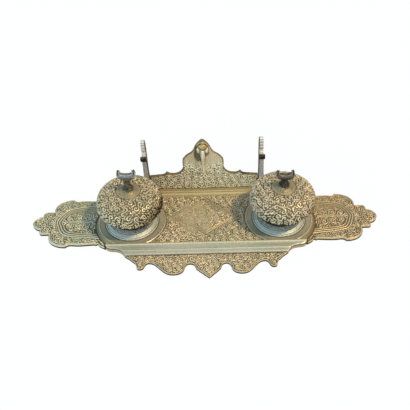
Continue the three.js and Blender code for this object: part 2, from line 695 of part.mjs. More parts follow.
function linerGeometry() {
  const radius = WELL_BORE_RADIUS - LINER_CLEARANCE;
  const lip = radius + LINER_LIP_WIDTH;
  const inner = radius - LINER_WALL;
  const lipTop = WELL_RIM_HEIGHT - LINER_SINK;
  const bottom = DECK_HEIGHT + WELL_FLOOR + LINER_CLEARANCE;
  const floor = bottom + LINER_FLOOR;
  return toGeometry(turned([
    [0, bottom],
    [radius - LINER_EDGE, bottom],
    [radius, bottom + LINER_EDGE],
    [radius, LINER_LEDGE_HEIGHT],
    [lip, LINER_LEDGE_HEIGHT],
    [lip, lipTop],
    [inner, lipTop],
    [inner, floor + LINER_EDGE],
    [inner - LINER_EDGE, floor],
    [0, floor],
  ], LINER_SIDES));
}

// Lids: a full, flat-topped dome closed below by a ring that sits on the well's rim

function domeProfile(inset, flatRadius) {
  const points = [];
  for (let step = 0; step < DOME_STEPS; step += 1) {
    const angle = (step / DOME_STEPS) * (Math.PI / 2);
    const radius = (LID_RADIUS - inset) * Math.cos(angle) ** (2 / LID_FULLNESS);
    const rise = (LID_CROWN_RISE - inset) * Math.sin(angle) ** (2 / LID_FULLNESS);
    if (radius > flatRadius) {
      points.push([radius, LID_WIDEST_HEIGHT + rise]);
    }
  }
  points.push([flatRadius, LID_TOP - inset], [STUD_RADIUS + RUNNING_GAP, LID_TOP - inset]);
  return points;
}

function lidDomeGeometry() {
  const skirtBottom = LID_WIDEST_HEIGHT - LID_SKIRT_DROP;
  const socket = LID_RING_RADIUS + RUNNING_GAP;
  const shoulder = WELL_RIM_HEIGHT + LID_RING_THICKNESS;
  const outer = domeProfile(0, FINIAL_BASE_RADIUS);
  const inner = domeProfile(LID_WALL, WASHER_RADIUS + RUNNING_GAP).reverse();
  const profile = [
    [socket, skirtBottom],
    [LID_SKIRT_RADIUS, skirtBottom],
    [LID_RADIUS - 0.45 * LID_WALL, LID_WIDEST_HEIGHT - 0.6 * LID_SKIRT_DROP],
    ...outer,
    ...inner,
    [socket, shoulder],
    [socket, skirtBottom],
  ];
  return toGeometry(turned(profile));
}

function lidSeatRingGeometry() {
  const seat = WELL_RIM_HEIGHT;
  const collarInner = WELL_RIM_RADIUS + LID_SEAT_CLEARANCE;
  const collarOuter = collarInner + LID_COLLAR_WALL;
  return toGeometry(turned([
    [LID_RING_HOLE_RADIUS, seat],
    [collarInner, seat],
    [collarInner, seat - LID_COLLAR_HEIGHT],
    [collarOuter, seat - LID_COLLAR_HEIGHT],
    [collarOuter, seat],
    [LID_RING_RADIUS, seat],
    [LID_RING_RADIUS, seat + LID_RING_THICKNESS],
    [LID_RING_HOLE_RADIUS, seat + LID_RING_THICKNESS],
    [LID_RING_HOLE_RADIUS, seat],
  ]));
}

// Finials: a trumpet foot, two rings, a stem and a crescent with split horns, on a stud

function crescentShape() {
  const half = CRESCENT_WIDTH / 2;
  const rim = CRESCENT_HEIGHT;
  const belly = CRESCENT_BELLY;
  const shape = new THREE.Shape();
  shape.moveTo(0, 0);
  shape.bezierCurveTo(0.75 * half, 0, 1.12 * half, 0.36 * rim, 0.86 * half, rim);
  shape.lineTo(0.8 * half, rim - HORN_SPLIT_DEPTH);
  shape.lineTo(0.62 * half, 0.94 * rim);
  shape.bezierCurveTo(0.68 * half, 0.56 * rim, 0.42 * half, belly, 0, belly);
  shape.bezierCurveTo(-0.42 * half, belly, -0.68 * half, 0.56 * rim, -0.62 * half, 0.94 * rim);
  shape.lineTo(-0.8 * half, rim - HORN_SPLIT_DEPTH);
  shape.lineTo(-0.86 * half, rim);
  shape.bezierCurveTo(-1.12 * half, 0.36 * rim, -0.75 * half, 0, 0, 0);
  return shape;
}

function finialGeometry(stemLength) {
  const seat = LID_TOP;
  const base = seat + FINIAL_BASE_HEIGHT;
  const ring = base + FINIAL_COVE_HEIGHT;
  const step = FINIAL_COLLAR_STEP;
  const top = ring + stemLength;
  const stem = turned([
    [0, seat - LID_WALL - STUD_REACH],
    [STUD_RADIUS, seat - LID_WALL - STUD_REACH],
    [STUD_RADIUS, seat],
    [FINIAL_BASE_RADIUS, seat],
    [FINIAL_BASE_RADIUS, base],
    [0.76 * FINIAL_BASE_RADIUS, base + 0.17 * FINIAL_COVE_HEIGHT],
    [0.56 * FINIAL_BASE_RADIUS, base + 0.45 * FINIAL_COVE_HEIGHT],
    [FINIAL_RING_RADIUS, ring - 0.5 * step],
    [FINIAL_RING_RADIUS, ring + 1.25 * step],
    [FINIAL_STEM_RADIUS + step, ring + 2 * step],
    [FINIAL_STEM_RADIUS + step, ring + 3.5 * step],
    [FINIAL_STEM_RADIUS, ring + 4.5 * step],
    [FINIAL_STEM_RADIUS, top - 1.25 * step],
    [FINIAL_STEM_RADIUS + 0.75 * step, top + 0.75 * step],
    [0, top + 0.75 * step],
  ], FINIAL_SIDES);
  const crescent = uprightPlate(crescentShape(), -CRESCENT_THICKNESS / 2, CRESCENT_THICKNESS);
  return toGeometry(joined(stem, crescent.translate([0, 0, top])));
}

function washerGeometry(top, inner, outer) {
  return toGeometry(tube(inner, outer, top - WASHER_THICKNESS, top, SMALL_SIDES));
}

function nutGeometry(top) {
  const bottom = top - NUT_THICKNESS;
  const hexagon = disc(NUT_RADIUS, bottom, top, NUT_SIDES);
  return toGeometry(cut(hexagon, disc(STUD_RADIUS + RUNNING_GAP, bottom - OVERRUN, top + OVERRUN)));
}

// Fasteners under the tray: slotted heads in the recess, shanks up through the skin

function slotted(radius, bottom, top) {
  const length = 2 * (radius + OVERRUN);
  const slot = new THREE.BoxGeometry(length, SLOT_WIDTH_SHARE * radius, 2 * SLOT_DEPTH);
  slot.translate(0, 0, bottom);
  return cut(disc(radius, bottom, top), toSolid(slot));
}

function wellBoltGeometry() {
  const under = RECESS_ROOF - WASHER_THICKNESS;
  const head = slotted(BOLT_HEAD_RADIUS, under - BOLT_HEAD_HEIGHT, under);
  const shank = disc(BOLT_RADIUS, under - SLOT_DEPTH / 2, DECK_HEIGHT + BOLT_GRIP_IN_WELL);
  return toGeometry(joined(head, shank));
}

function screwGeometry() {
  const head = slotted(SCREW_HEAD_RADIUS, RECESS_ROOF - SCREW_HEAD_HEIGHT, RECESS_ROOF);
  const shank = disc(SCREW_RADIUS, RECESS_ROOF - SLOT_DEPTH / 2, LEDGE_HEIGHT + SCREW_GRIP);
  return toGeometry(joined(head, shank));
}

// Assembly

const inkstand = new THREE.Group();

function add(name, geometry, finish, x = 0, y = 0) {
  const mesh = new THREE.Mesh(geometry, new THREE.MeshStandardMaterial(finish));
  mesh.name = name;
  mesh.position.set(x, y + ORIGIN_SHIFT_Y, 0);
  inkstand.add(mesh);
}

add("tray", trayGeometry(), CAST_BRASS);
add("gallery", galleryGeometry(), CAST_BRASS);
for (const [index, place] of screwPlaces().gallery.entries()) {
  add(`gallery_screw_${index + 1}`, screwGeometry(), STEEL, place.x, place.y);
}
for (const [side, name] of [[-1, "left"], [1, "right"]]) {
  const x = side * WELL_X;
  const lidX = x + LID_OFFSET[name];
  const lidInside = LID_TOP - LID_WALL;
  const rest = screwPlaces().rests[side < 0 ? 0 : 1];
  add(`pen_rest_${name}`, penRestGeometry(side, PEN_REST_LEAN[name]), DARK_BRASS);
  add(`pen_rest_screw_${name}`, screwGeometry(), STEEL, rest.x, rest.y);
  add(`well_${name}`, wellGeometry(), CAST_BRASS, x, WELL_Y);
  add(`well_bolt_${name}`, wellBoltGeometry(), STEEL, x, WELL_Y);
  add(
    `well_washer_${name}`,
    washerGeometry(RECESS_ROOF, BOLT_RADIUS + RUNNING_GAP, WASHER_RADIUS),
    STEEL, x, WELL_Y,
  );
  add(`liner_${name}`, linerGeometry(), GLASS, x, WELL_Y);
  add(`lid_dome_${name}`, lidDomeGeometry(), LID_BRASS, lidX, WELL_Y);
  add(`lid_seat_ring_${name}`, lidSeatRingGeometry(), LID_BRASS, lidX, WELL_Y);
  add(`finial_${name}`, finialGeometry(FINIAL_STEM_LENGTH[name]), DARK_BRASS, lidX, WELL_Y);
  add(
    `finial_washer_${name}`,
    washerGeometry(lidInside, STUD_RADIUS + RUNNING_GAP, WASHER_RADIUS),
    DARK_BRASS, lidX, WELL_Y,
  );
  add(`finial_nut_${name}`, nutGeometry(lidInside - WASHER_THICKNESS), DARK_BRASS, lidX, WELL_Y);
}

export default inkstand;
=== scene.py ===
import math

import bpy
import numpy as np
from mathutils import Matrix, Vector, kdtree
from mathutils.geometry import delaunay_2d_cdt


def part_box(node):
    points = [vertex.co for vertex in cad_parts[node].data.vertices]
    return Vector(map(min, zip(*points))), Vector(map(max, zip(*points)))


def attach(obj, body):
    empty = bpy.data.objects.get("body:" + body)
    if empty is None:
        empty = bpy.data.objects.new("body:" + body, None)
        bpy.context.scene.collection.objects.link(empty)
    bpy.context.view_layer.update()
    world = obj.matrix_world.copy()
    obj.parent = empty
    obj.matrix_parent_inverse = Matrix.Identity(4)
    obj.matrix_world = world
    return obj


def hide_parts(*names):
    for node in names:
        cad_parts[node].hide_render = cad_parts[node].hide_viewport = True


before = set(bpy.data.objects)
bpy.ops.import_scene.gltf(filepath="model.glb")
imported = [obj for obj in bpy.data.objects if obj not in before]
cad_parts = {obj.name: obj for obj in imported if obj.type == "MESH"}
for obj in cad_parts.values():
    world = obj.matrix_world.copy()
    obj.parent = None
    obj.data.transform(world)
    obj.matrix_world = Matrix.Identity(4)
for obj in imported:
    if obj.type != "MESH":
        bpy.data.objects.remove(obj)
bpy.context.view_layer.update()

# The tabletop: a white sheet that only catches the stand's soft shadow. A warm window on the
# right lights it, with a cool light on the left, a soft one in front and a weak cool sky,
# seen by a camera that looks down at 45 degrees.
MM = 0.001
tray_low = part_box("tray")[0]
APRON_POINT_Y = -76.5
MIDDLE_Y = tray_low.y / MM - APRON_POINT_Y

LENS_MM = 52.3
CAMERA_PITCH = 0.7854
CAMERA_YAW = 0.0184
CAMERA_ROLL = -0.0117
CAMERA_AIM = (0.09, 21.34, 2.51)
CAMERA_DISTANCE = 639.92


def in_scene(name, data):
    """A new object in the scene with its data."""
    made = bpy.data.objects.new(name, data)
    bpy.context.scene.collection.objects.link(made)
    return made


forward = Vector((
    math.sin(CAMERA_YAW) * math.cos(CAMERA_PITCH),
    math.cos(CAMERA_YAW) * math.cos(CAMERA_PITCH),
    -math.sin(CAMERA_PITCH),
))
level = Vector((math.cos(CAMERA_YAW), -math.sin(CAMERA_YAW), 0))
upward = level.cross(forward)
right = level * math.cos(CAMERA_ROLL) + upward * math.sin(CAMERA_ROLL)
top = upward * math.cos(CAMERA_ROLL) - level * math.sin(CAMERA_ROLL)
aim = Vector((CAMERA_AIM[0], CAMERA_AIM[1] + MIDDLE_Y, CAMERA_AIM[2])) * MM
camera = in_scene("camera", bpy.data.cameras.new("camera"))
camera.data.lens = LENS_MM
camera.data.sensor_width = 36
camera.data.clip_start = 0.01
camera.matrix_world = Matrix.Translation(aim - forward * CAMERA_DISTANCE * MM) @ Matrix((
    (right.x, top.x, -forward.x),
    (right.y, top.y, -forward.y),
    (right.z, top.z, -forward.z),
)).to_4x4()
bpy.context.scene.camera = camera

KEY_DIRECTION = (0.47, -0.24, 0.85)
KEY_STRENGTH = 2.4
KEY_COLOUR = (1.0, 0.82, 0.53)
KEY_SOFTNESS = math.radians(4)
SIDE_DIRECTION = (-0.88, -0.40, 0.26)
SIDE_STRENGTH = 1.6
SIDE_COLOUR = (0.42, 0.72, 1.0)
SIDE_SOFTNESS = math.radians(60)
FRONT_DIRECTION = (-0.22, -0.93, 0.3)
FRONT_STRENGTH = 1.0
FRONT_COLOUR = (0.82, 0.92, 1.0)
FRONT_SOFTNESS = math.radians(70)
SKY_COLOUR = (0.40, 0.66, 1.0)
SKY_STRENGTH = 0.62


def lamp(name, direction, strength, colour, softness):
    light = in_scene(name, bpy.data.lights.new(name, "SUN"))
    light.data.energy = strength
    light.data.color = colour
    light.data.angle = softness
    light.rotation_euler = Vector(direction).to_track_quat("Z", "Y").to_euler()


lamp("warm_window", KEY_DIRECTION, KEY_STRENGTH, KEY_COLOUR, KEY_SOFTNESS)
lamp("cool_side_light", SIDE_DIRECTION, SIDE_STRENGTH, SIDE_COLOUR, SIDE_SOFTNESS)
lamp("front_light", FRONT_DIRECTION, FRONT_STRENGTH, FRONT_COLOUR, FRONT_SOFTNESS)


def feed(tree, node, inputs):
    """Gives each input of a node a value, or links it to another node's output."""
    for name, value in inputs.items():
        if isinstance(value, bpy.types.NodeSocket):
            tree.links.new(value, node.inputs[name])
        else:
            node.inputs[name].default_value = value


def outputs_of(tree, kind, inputs, **settings):
    """A new node with its settings and inputs, of which the outputs are handed back."""
    node = tree.nodes.new(kind)
    for key, value in settings.items():
        setattr(node, key, value)
    feed(tree, node, inputs)
    return node.outputs


def larger(tree, first, second):
    return outputs_of(tree, "ShaderNodeMath", {0: first, 1: second}, operation="MAXIMUM")[0]


def mapped(tree, value, low, high, to_low=0, to_high=1):
    """Turns the range of a value into another, and holds it at both ends."""
    inputs = {"Value": value, "From Min": low, "From Max": high, "To Min": to_low, "To Max": to_high}
    return outputs_of(tree, "ShaderNodeMapRange", inputs)["Result"]


def mixed_colour(tree, share, first, second, blend="MIX"):
    inputs = {"Factor": share, "A": first, "B": second}
    return outputs_of(tree, "ShaderNodeMix", inputs, data_type="RGBA", blend_type=blend)["Result"]


def mixed_shader(tree, share, first, second):
    return outputs_of(tree, "ShaderNodeMixShader", {"Fac": share, 1: first, 2: second})[0]


WHITE = (1, 1, 1, 1)
COOL_CEILING = (0.20, 0.36, 0.46, 1)
WARM_CEILING = (0.78, 0.58, 0.33, 1)

# Soft light comes from a cool sky. Gloss and glass see white near the table, dimmer above
world = bpy.data.worlds.new("studio")
bpy.context.scene.world = world
world.use_nodes = True
tree = world.node_tree
sky = tree.nodes["Background"]
feed(tree, sky, {"Color": (*SKY_COLOUR, 1), "Strength": SKY_STRENGTH})
rays = outputs_of(tree, "ShaderNodeLightPath", {})
direction = outputs_of(tree, "ShaderNodeTexCoord", {})["Generated"]
apart = outputs_of(tree, "ShaderNodeSeparateXYZ", {"Vector": direction})
ceiling = mixed_colour(tree, mapped(tree, apart["X"], -0.6, 0.6), COOL_CEILING, WARM_CEILING)
gloss = mixed_colour(tree, mapped(tree, apart["Z"], 0.15, 0.9), WHITE, ceiling)
studio = outputs_of(tree, "ShaderNodeBackground", {"Color": gloss})[0]
paper_white = outputs_of(tree, "ShaderNodeBackground", {"Color": WHITE})[0]
shiny = larger(tree, rays["Is Glossy Ray"], rays["Is Transmission Ray"])
reflected = mixed_shader(tree, shiny, sky.outputs[0], studio)
seen = mixed_shader(tree, rays["Is Camera Ray"], reflected, paper_white)
feed(tree, tree.nodes["World Output"], {"Surface": seen})


def new_material(name):
    """A material with its node tree and its surface shader."""
    material = bpy.data.materials.new(name)
    material.use_nodes = True
    return material, material.node_tree, material.node_tree.nodes["Principled BSDF"]


TABLE_WHITENESS = 0.86
bpy.ops.mesh.primitive_plane_add(size=6)
table = bpy.context.object
table.name = "tabletop"
sheet, tree, matt = new_material("white_sheet")
feed(tree, matt, {"Base Color": (0.9, 0.9, 0.9, 1), "Roughness": 0.9, "Specular IOR Level": 0.1})
glow = outputs_of(tree, "ShaderNodeEmission", {"Color": WHITE})[0]
lit = mixed_shader(tree, TABLE_WHITENESS, matt.outputs[0], glow)
rays = outputs_of(tree, "ShaderNodeLightPath", {})
direct = larger(tree, rays["Is Camera Ray"], rays["Is Glossy Ray"])
straight = larger(tree, direct, rays["Is Transmission Ray"])
plain = mixed_shader(tree, straight, matt.outputs[0], lit)
feed(tree, tree.nodes["Material Output"], {"Surface": plain})
table.data.materials.append(sheet)

# The base: the underside of the one brass casting that is the tray. It is a level frame,
# hollowed out under the deck so that the bolts and screws sit clear of the table.
PLATE_TOP = 3.2
RECESS_ROOF = 3.6
DECK_TOP = 7.0
DECK_HALF = 101
DECK_FRONT = -35.2
DECK_BACK = 31
BAND_FRONT = -48
LEDGE_BACK = 48
LEDGE_TOP = 10
BAND_END = 20
WELL_X = 76
WELL_Y = -4
PLATFORM_RADIUS = 35.2
DECK_RIM = 7
RECESS_CORNER = 22
RECESS_BACK_RIM = 3


def bezier(start, *controls, steps=10):
    """Points of a curve after its start, with one control (quadratic) or two (cubic)."""
    found = []
    for t in np.linspace(0, 1, steps + 1)[1:]:
        points = np.array([start, *controls], float)
        while len(points) > 1:
            points = points[:-1] * (1 - t) + points[1:] * t
        found.append(tuple(points[0]))
    return found


def traced(start, *parts):
    """An outline from its start. A part is a point, or a curve's controls and its steps."""
    found = [start]
    for part in parts:
        if isinstance(part[0], tuple):
            *controls, steps = part
            found += bezier(found[-1], *controls, steps=steps)
        else:
            found.append(part)
    return found


def band_end(edge_y, outer_y):
    """The S-shaped end of the band or the ledge, from the deck's corner inwards."""
    reach = outer_y - edge_y
    return traced(
        (DECK_HALF, edge_y),
        ((DECK_HALF - 0.6, edge_y + 0.34 * reach), (DECK_HALF - 8, edge_y + 0.36 * reach), 6),
        ((DECK_HALF - 17, edge_y + 0.42 * reach), (DECK_HALF - BAND_END, outer_y), 9),
    )


def both_sides(half):
    """A half outline on the right, from back to front, closed with its mirror image."""
    return half + [(-x, y) for x, y in reversed(half) if abs(x) > 1e-6]


def arc(centre, radius, start, end, steps):
    angles = np.radians(np.linspace(start, end, steps + 1))
    return [(centre[0] + radius * math.cos(a), centre[1] + radius * math.sin(a)) for a in angles]


def alone(piece):
    """Selects one piece and nothing else, for the next operator."""
    bpy.ops.object.select_all(action="DESELECT")
    piece.select_set(True)
    bpy.context.view_layer.objects.active = piece


def apply_modifier(piece, kind, **settings):
    modifier = piece.modifiers.new(kind.lower(), kind)
    for key, value in settings.items():
        setattr(modifier, key, value)
    alone(piece)
    bpy.ops.object.modifier_apply(modifier=modifier.name)


def edited(piece, *steps):
    """Runs edit operators on all of a piece, one by one, and turns its faces outwards."""
    alone(piece)
    bpy.ops.object.mode_set(mode="EDIT")
    for operator, settings in (*steps, (bpy.ops.mesh.normals_make_consistent, {"inside": False})):
        bpy.ops.mesh.select_all(action="SELECT")
        operator(**settings)
    bpy.ops.object.mode_set(mode="OBJECT")
    return piece


def outline_plate(name, corners, push):
    """A plate cut to an outline: the corners of one face in mm, pushed out into a solid."""
    mesh = bpy.data.meshes.new(name)
    placed = [(x * MM, (y + MIDDLE_Y) * MM, z * MM) for x, y, z in corners]
    mesh.from_pydata(placed, [], [tuple(range(len(placed)))])
    move = {"TRANSFORM_OT_translate": {"value": Vector(push) * MM}}
    return edited(in_scene(name, mesh), (bpy.ops.mesh.extrude_region_move, move))


def cut_away(piece, cutter):
    """Takes the cutter's shape out of a piece, and the cutter away."""
    apply_modifier(piece, "BOOLEAN", operation="DIFFERENCE", solver="EXACT", object=cutter)
    bpy.data.objects.remove(cutter, do_unlink=True)


def store_relief(mesh, values):
    """Keeps how high each point of the pattern stands: 0 to 1, and less than 0 where painted shade makes it
    near black.
    """
    stored = mesh.attributes.get("relief") or mesh.attributes.new("relief", "FLOAT", "POINT")
    stored.data.foreach_set("value", np.ascontiguousarray(values, np.float32))


BRASS_EDGE = (0.62, 0.52, 0.38)
PATINA = (0.74, 0.86, 0.80, 1)
PATINA_SCALE = 26
GRAIN_SCALE = 900
PIT_DEPTH = 0.2 * MM
PAINTED_SHADE_STOP = 0.38
HOLLOW_STOP = 0.53
FACE_STOP = 0.725
CREST_STOP = 0.96


def ramp(tree, value, stops):
    """Colours over a value, with a colour at each stop."""
    node = tree.nodes.new("ShaderNodeValToRGB")
    feed(tree, node, {"Fac": value})
    elements = node.color_ramp.elements
    elements[0].position = stops[0][0]
    elements[1].position = stops[-1][0]
    for spot, _ in stops[1:-1]:
        elements.new(spot)
    for element, (_, colour) in zip(elements, stops):
        element.color = (*colour, 1)
    return node.outputs["Color"]


def cast_brass(name, deep, middle, crest, roughness=0.46, metal=0.45, grime=0.5, pitting=0.25):
    """Old brass: dark in the hollows, worn bright on the crests, with uneven patina, and near black with
    painted shade where its relief is below 0.
    """
    material, tree, shader = new_material(name)
    place = outputs_of(tree, "ShaderNodeTexCoord", {})["Object"]
    noise = {"Vector": place, "Scale": PATINA_SCALE, "Detail": 5, "Roughness": 0.62}
    clouds = outputs_of(tree, "ShaderNodeTexNoise", noise)["Fac"]
    noise = {"Vector": place, "Scale": GRAIN_SCALE, "Detail": 3}
    grain = outputs_of(tree, "ShaderNodeTexNoise", noise)["Fac"]

    relief = outputs_of(tree, "ShaderNodeAttribute", {}, attribute_name="relief")["Fac"]
    mottled = {0: relief, 1: 0.5, 2: mapped(tree, grain, 0.3, 0.7, 0.43, 0.57)}
    depth = outputs_of(tree, "ShaderNodeMath", mottled, operation="MULTIPLY_ADD")[0]
    # Relief below 0 takes a near-black painted shade
    painted_shade_colour = [0.25 * part for part in deep]
    stops = (PAINTED_SHADE_STOP, painted_shade_colour), (HOLLOW_STOP, deep), (FACE_STOP, middle), (CREST_STOP, crest)
    colour = ramp(tree, depth, stops)
    spread = mapped(tree, clouds, 0.42, 0.62, 0, grime)
    pits = {"Strength": pitting, "Distance": PIT_DEPTH, "Height": grain}
    feed(tree, shader, {
        "Base Color": mixed_colour(tree, spread, colour, PATINA, "MULTIPLY"),
        "Metallic": metal,
        "Roughness": mapped(tree, depth, 0.5, 1, roughness + 0.16, roughness - 0.08),
        "Specular Tint": (*BRASS_EDGE, 1),
        "Normal": outputs_of(tree, "ShaderNodeBump", pits)["Normal"],
    })
    return material


def finished(piece, material, body, slot, *nodes):
    """Gives a piece its metal and its body, and hides the CAD nodes that it stands for."""
    piece.data.materials.clear()
    piece.data.materials.append(material)
    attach(piece, body)
    if nodes:
        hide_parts(*nodes)


field_brass = cast_brass("cast_brass_field", (0.20, 0.14, 0.07), (0.44, 0.335, 0.195), (0.74, 0.62, 0.42))
platform_reach = math.degrees(math.acos((DECK_HALF - WELL_X) / PLATFORM_RADIUS))
base_outline = both_sides(
    [(x, y) for x, y in reversed(band_end(DECK_BACK, LEDGE_BACK))]
    + arc((WELL_X, WELL_Y), PLATFORM_RADIUS, platform_reach, -platform_reach, 40)
    + band_end(DECK_FRONT, BAND_FRONT)
)
base = outline_plate("tray_base", [(x, y, 0) for x, y in base_outline], (0, 0, RECESS_ROOF))
recess_side = DECK_HALF - DECK_RIM
recess = outline_plate("recess", [
    (-recess_side, DECK_FRONT + DECK_RIM, -1),
    (recess_side, DECK_FRONT + DECK_RIM, -1),
    (recess_side, DECK_BACK - DECK_RIM + RECESS_BACK_RIM, -1),
    (recess_side - RECESS_CORNER, LEDGE_BACK - RECESS_BACK_RIM, -1),
    (RECESS_CORNER - recess_side, LEDGE_BACK - RECESS_BACK_RIM, -1),
    (-recess_side, DECK_BACK - DECK_RIM + RECESS_BACK_RIM, -1),
], (0, 0, RECESS_ROOF + 2))
cut_away(base, recess)
for side in (-1, 1):
    circle = arc((side * WELL_X, WELL_Y), PLATFORM_RADIUS - DECK_RIM, 0, 355, 71)
    cut_away(base, outline_plate("recess_end", [(x, y, -1) for x, y in circle], (0, 0, RECESS_ROOF + 2)))
store_relief(base.data, np.full(len(base.data.vertices), 0.4))
finished(base, field_brass, "stand", "tray_brass", "tray")

# The deck's field between the wells: scrollwork cast in and chased over, round a lozenge
# medallion that use has worn nearly smooth. It is part of the same brass casting.
GROUND_SINK = 0.12
GROUND_TONE = 0.06
TONE_RISE = 0.86
LINE_PITCH = 0.25
FIELD_RELIEF = 0.55
FIELD_PITCH = 0.31
MEDALLION_HALF = (31, 21.5)
STROKE_SOFTNESS = 0.62


def subdivided(outline, pitch):
    """The outline with extra points, so that no side is longer than the pitch."""
    found = []
    for a, b in zip(outline, outline[1:] + outline[:1]):
        parts = max(1, math.ceil(math.dist(a, b) / pitch))
        step = ((b[0] - a[0]), (b[1] - a[1]))
        found += [(a[0] + step[0] * k / parts, a[1] + step[1] * k / parts) for k in range(parts)]
    return found


def share_of(values):
    """The values, held between 0 and 1."""
    return np.clip(values, 0, 1)


def sides_of(outline):
    a = np.array(outline, float)
    return zip(a, np.roll(a, -1, axis=0))


def within(points, outline):
    """Which of the points lie inside the outline."""
    x, y = points[:, 0], points[:, 1]
    odd = np.zeros(len(points), bool)
    for (ax, ay), (bx, by) in sides_of(outline):
        if ay != by:
            odd ^= ((ay > y) != (by > y)) & (x < (bx - ax) * (y - ay) / (by - ay) + ax)
    return odd


def edge_distance(points, outline):
    """How far each point is from the outline."""
    nearest = np.full(len(points), 1e9)
    for a, b in sides_of(outline):
        side = b - a
        t = share_of(((points - a) @ side) / max(side @ side, 1e-12))
        away = points - a - t[:, None] * side
        nearest = np.minimum(nearest, np.einsum("ij,ij->i", away, away))
    return np.sqrt(nearest)


def room(points, outline):
    """How far inside the outline each point is, and less than nothing outside it."""
    return np.where(within(points, outline), 1, -1) * edge_distance(points, outline)


def lattice(outline, pitch, margin):
    """Points in staggered rows inside the outline, a margin away from its edge."""
    (x0, y0), (x1, y1) = np.array(outline).min(0), np.array(outline).max(0)
    rows = []
    for index, y in enumerate(np.arange(y0, y1, pitch * 0.866)):
        x = np.arange(x0 + (index % 2) * pitch / 2, x1, pitch)
        rows.append(np.c_[x, np.full(len(x), y)])
    points = np.concatenate(rows)
    return points[room(points, outline) > margin]


def lying(points):
    """The tray's own axes: across, back and up."""
    return points


def read(items, name, width=1):
    """A number, or a few, of each vertex, edge or attribute entry, as an array."""
    found = np.empty(len(items) * width, np.int64 if name == "vertices" else np.float64)
    items.foreach_get(name, found)
    return found.reshape(-1, width) if width > 1 else found


def slab(name, outline, pitch, surface, floor, inner=None, place=lying, under=-0.6):
    """A closed casting over an outline, whose upper side surface(points, inset) shapes.

    Its lower wall is darkened with painted shade by so much as under says.
    """
    border = np.array(subdivided(outline, pitch), float)
    inner = lattice(outline, pitch, 0.55 * pitch) if inner is None else inner
    count = len(border)
    ring = [(i, (i + 1) % count) for i in range(count)]
    flat = np.concatenate([border, inner])
    made = delaunay_2d_cdt([Vector(p) for p in flat.tolist()], ring, [], 1, 1e-7)
    flat = np.array([tuple(p) for p in made[0]])
    new_index = {old: new for new, olds in enumerate(made[3]) for old in olds}
    rim = [new_index[i] for i in range(count)]
    height, relief = surface(flat, edge_distance(flat, outline))
    upper = len(flat)
    points = np.concatenate([np.c_[flat, height], np.c_[flat[rim], np.full(count, float(floor))]])
    x, y = flat[rim].T
    outward = np.sum(x * np.roll(y, -1) - np.roll(x, -1) * y) > 0
    faces = [tuple(face) for face in made[2]]
    ahead = [(i + 1) % count for i in range(count)]
    closing = [(rim[i], upper + i, upper + j, rim[j]) for i, j in enumerate(ahead)]
    closing.append(tuple(range(upper, upper + count))[::-1])
    faces += closing if outward else [face[::-1] for face in closing]
    placed = place(points)
    mesh = bpy.data.meshes.new(name)
    mesh.from_pydata(((placed + (0, MIDDLE_Y, 0)) * MM).tolist(), [], faces)
    mesh.shade_smooth()
    # The lower wall's points take the under value: painted shade, near black below 0
    store_relief(mesh, np.concatenate([relief, np.full(count, under)]))
    edges = read(mesh.edges, "vertices", 2)
    on_rim = np.zeros(len(mesh.vertices), bool)
    on_rim[rim] = True
    crisp = mesh.attributes.new("sharp_edge", "BOOLEAN", "EDGE")
    crisp.data.foreach_set("value", (edges >= upper).all(1) | on_rim[edges].all(1))
    mesh.update()
    return in_scene(name, mesh)


def rounded_edge(distance, radius=0.8):
    """How much a surface drops near its edge, as a quarter round."""
    t = share_of(1 - distance / radius)
    return radius * (1 - np.sqrt(share_of(1 - 0.92 * t * t)))


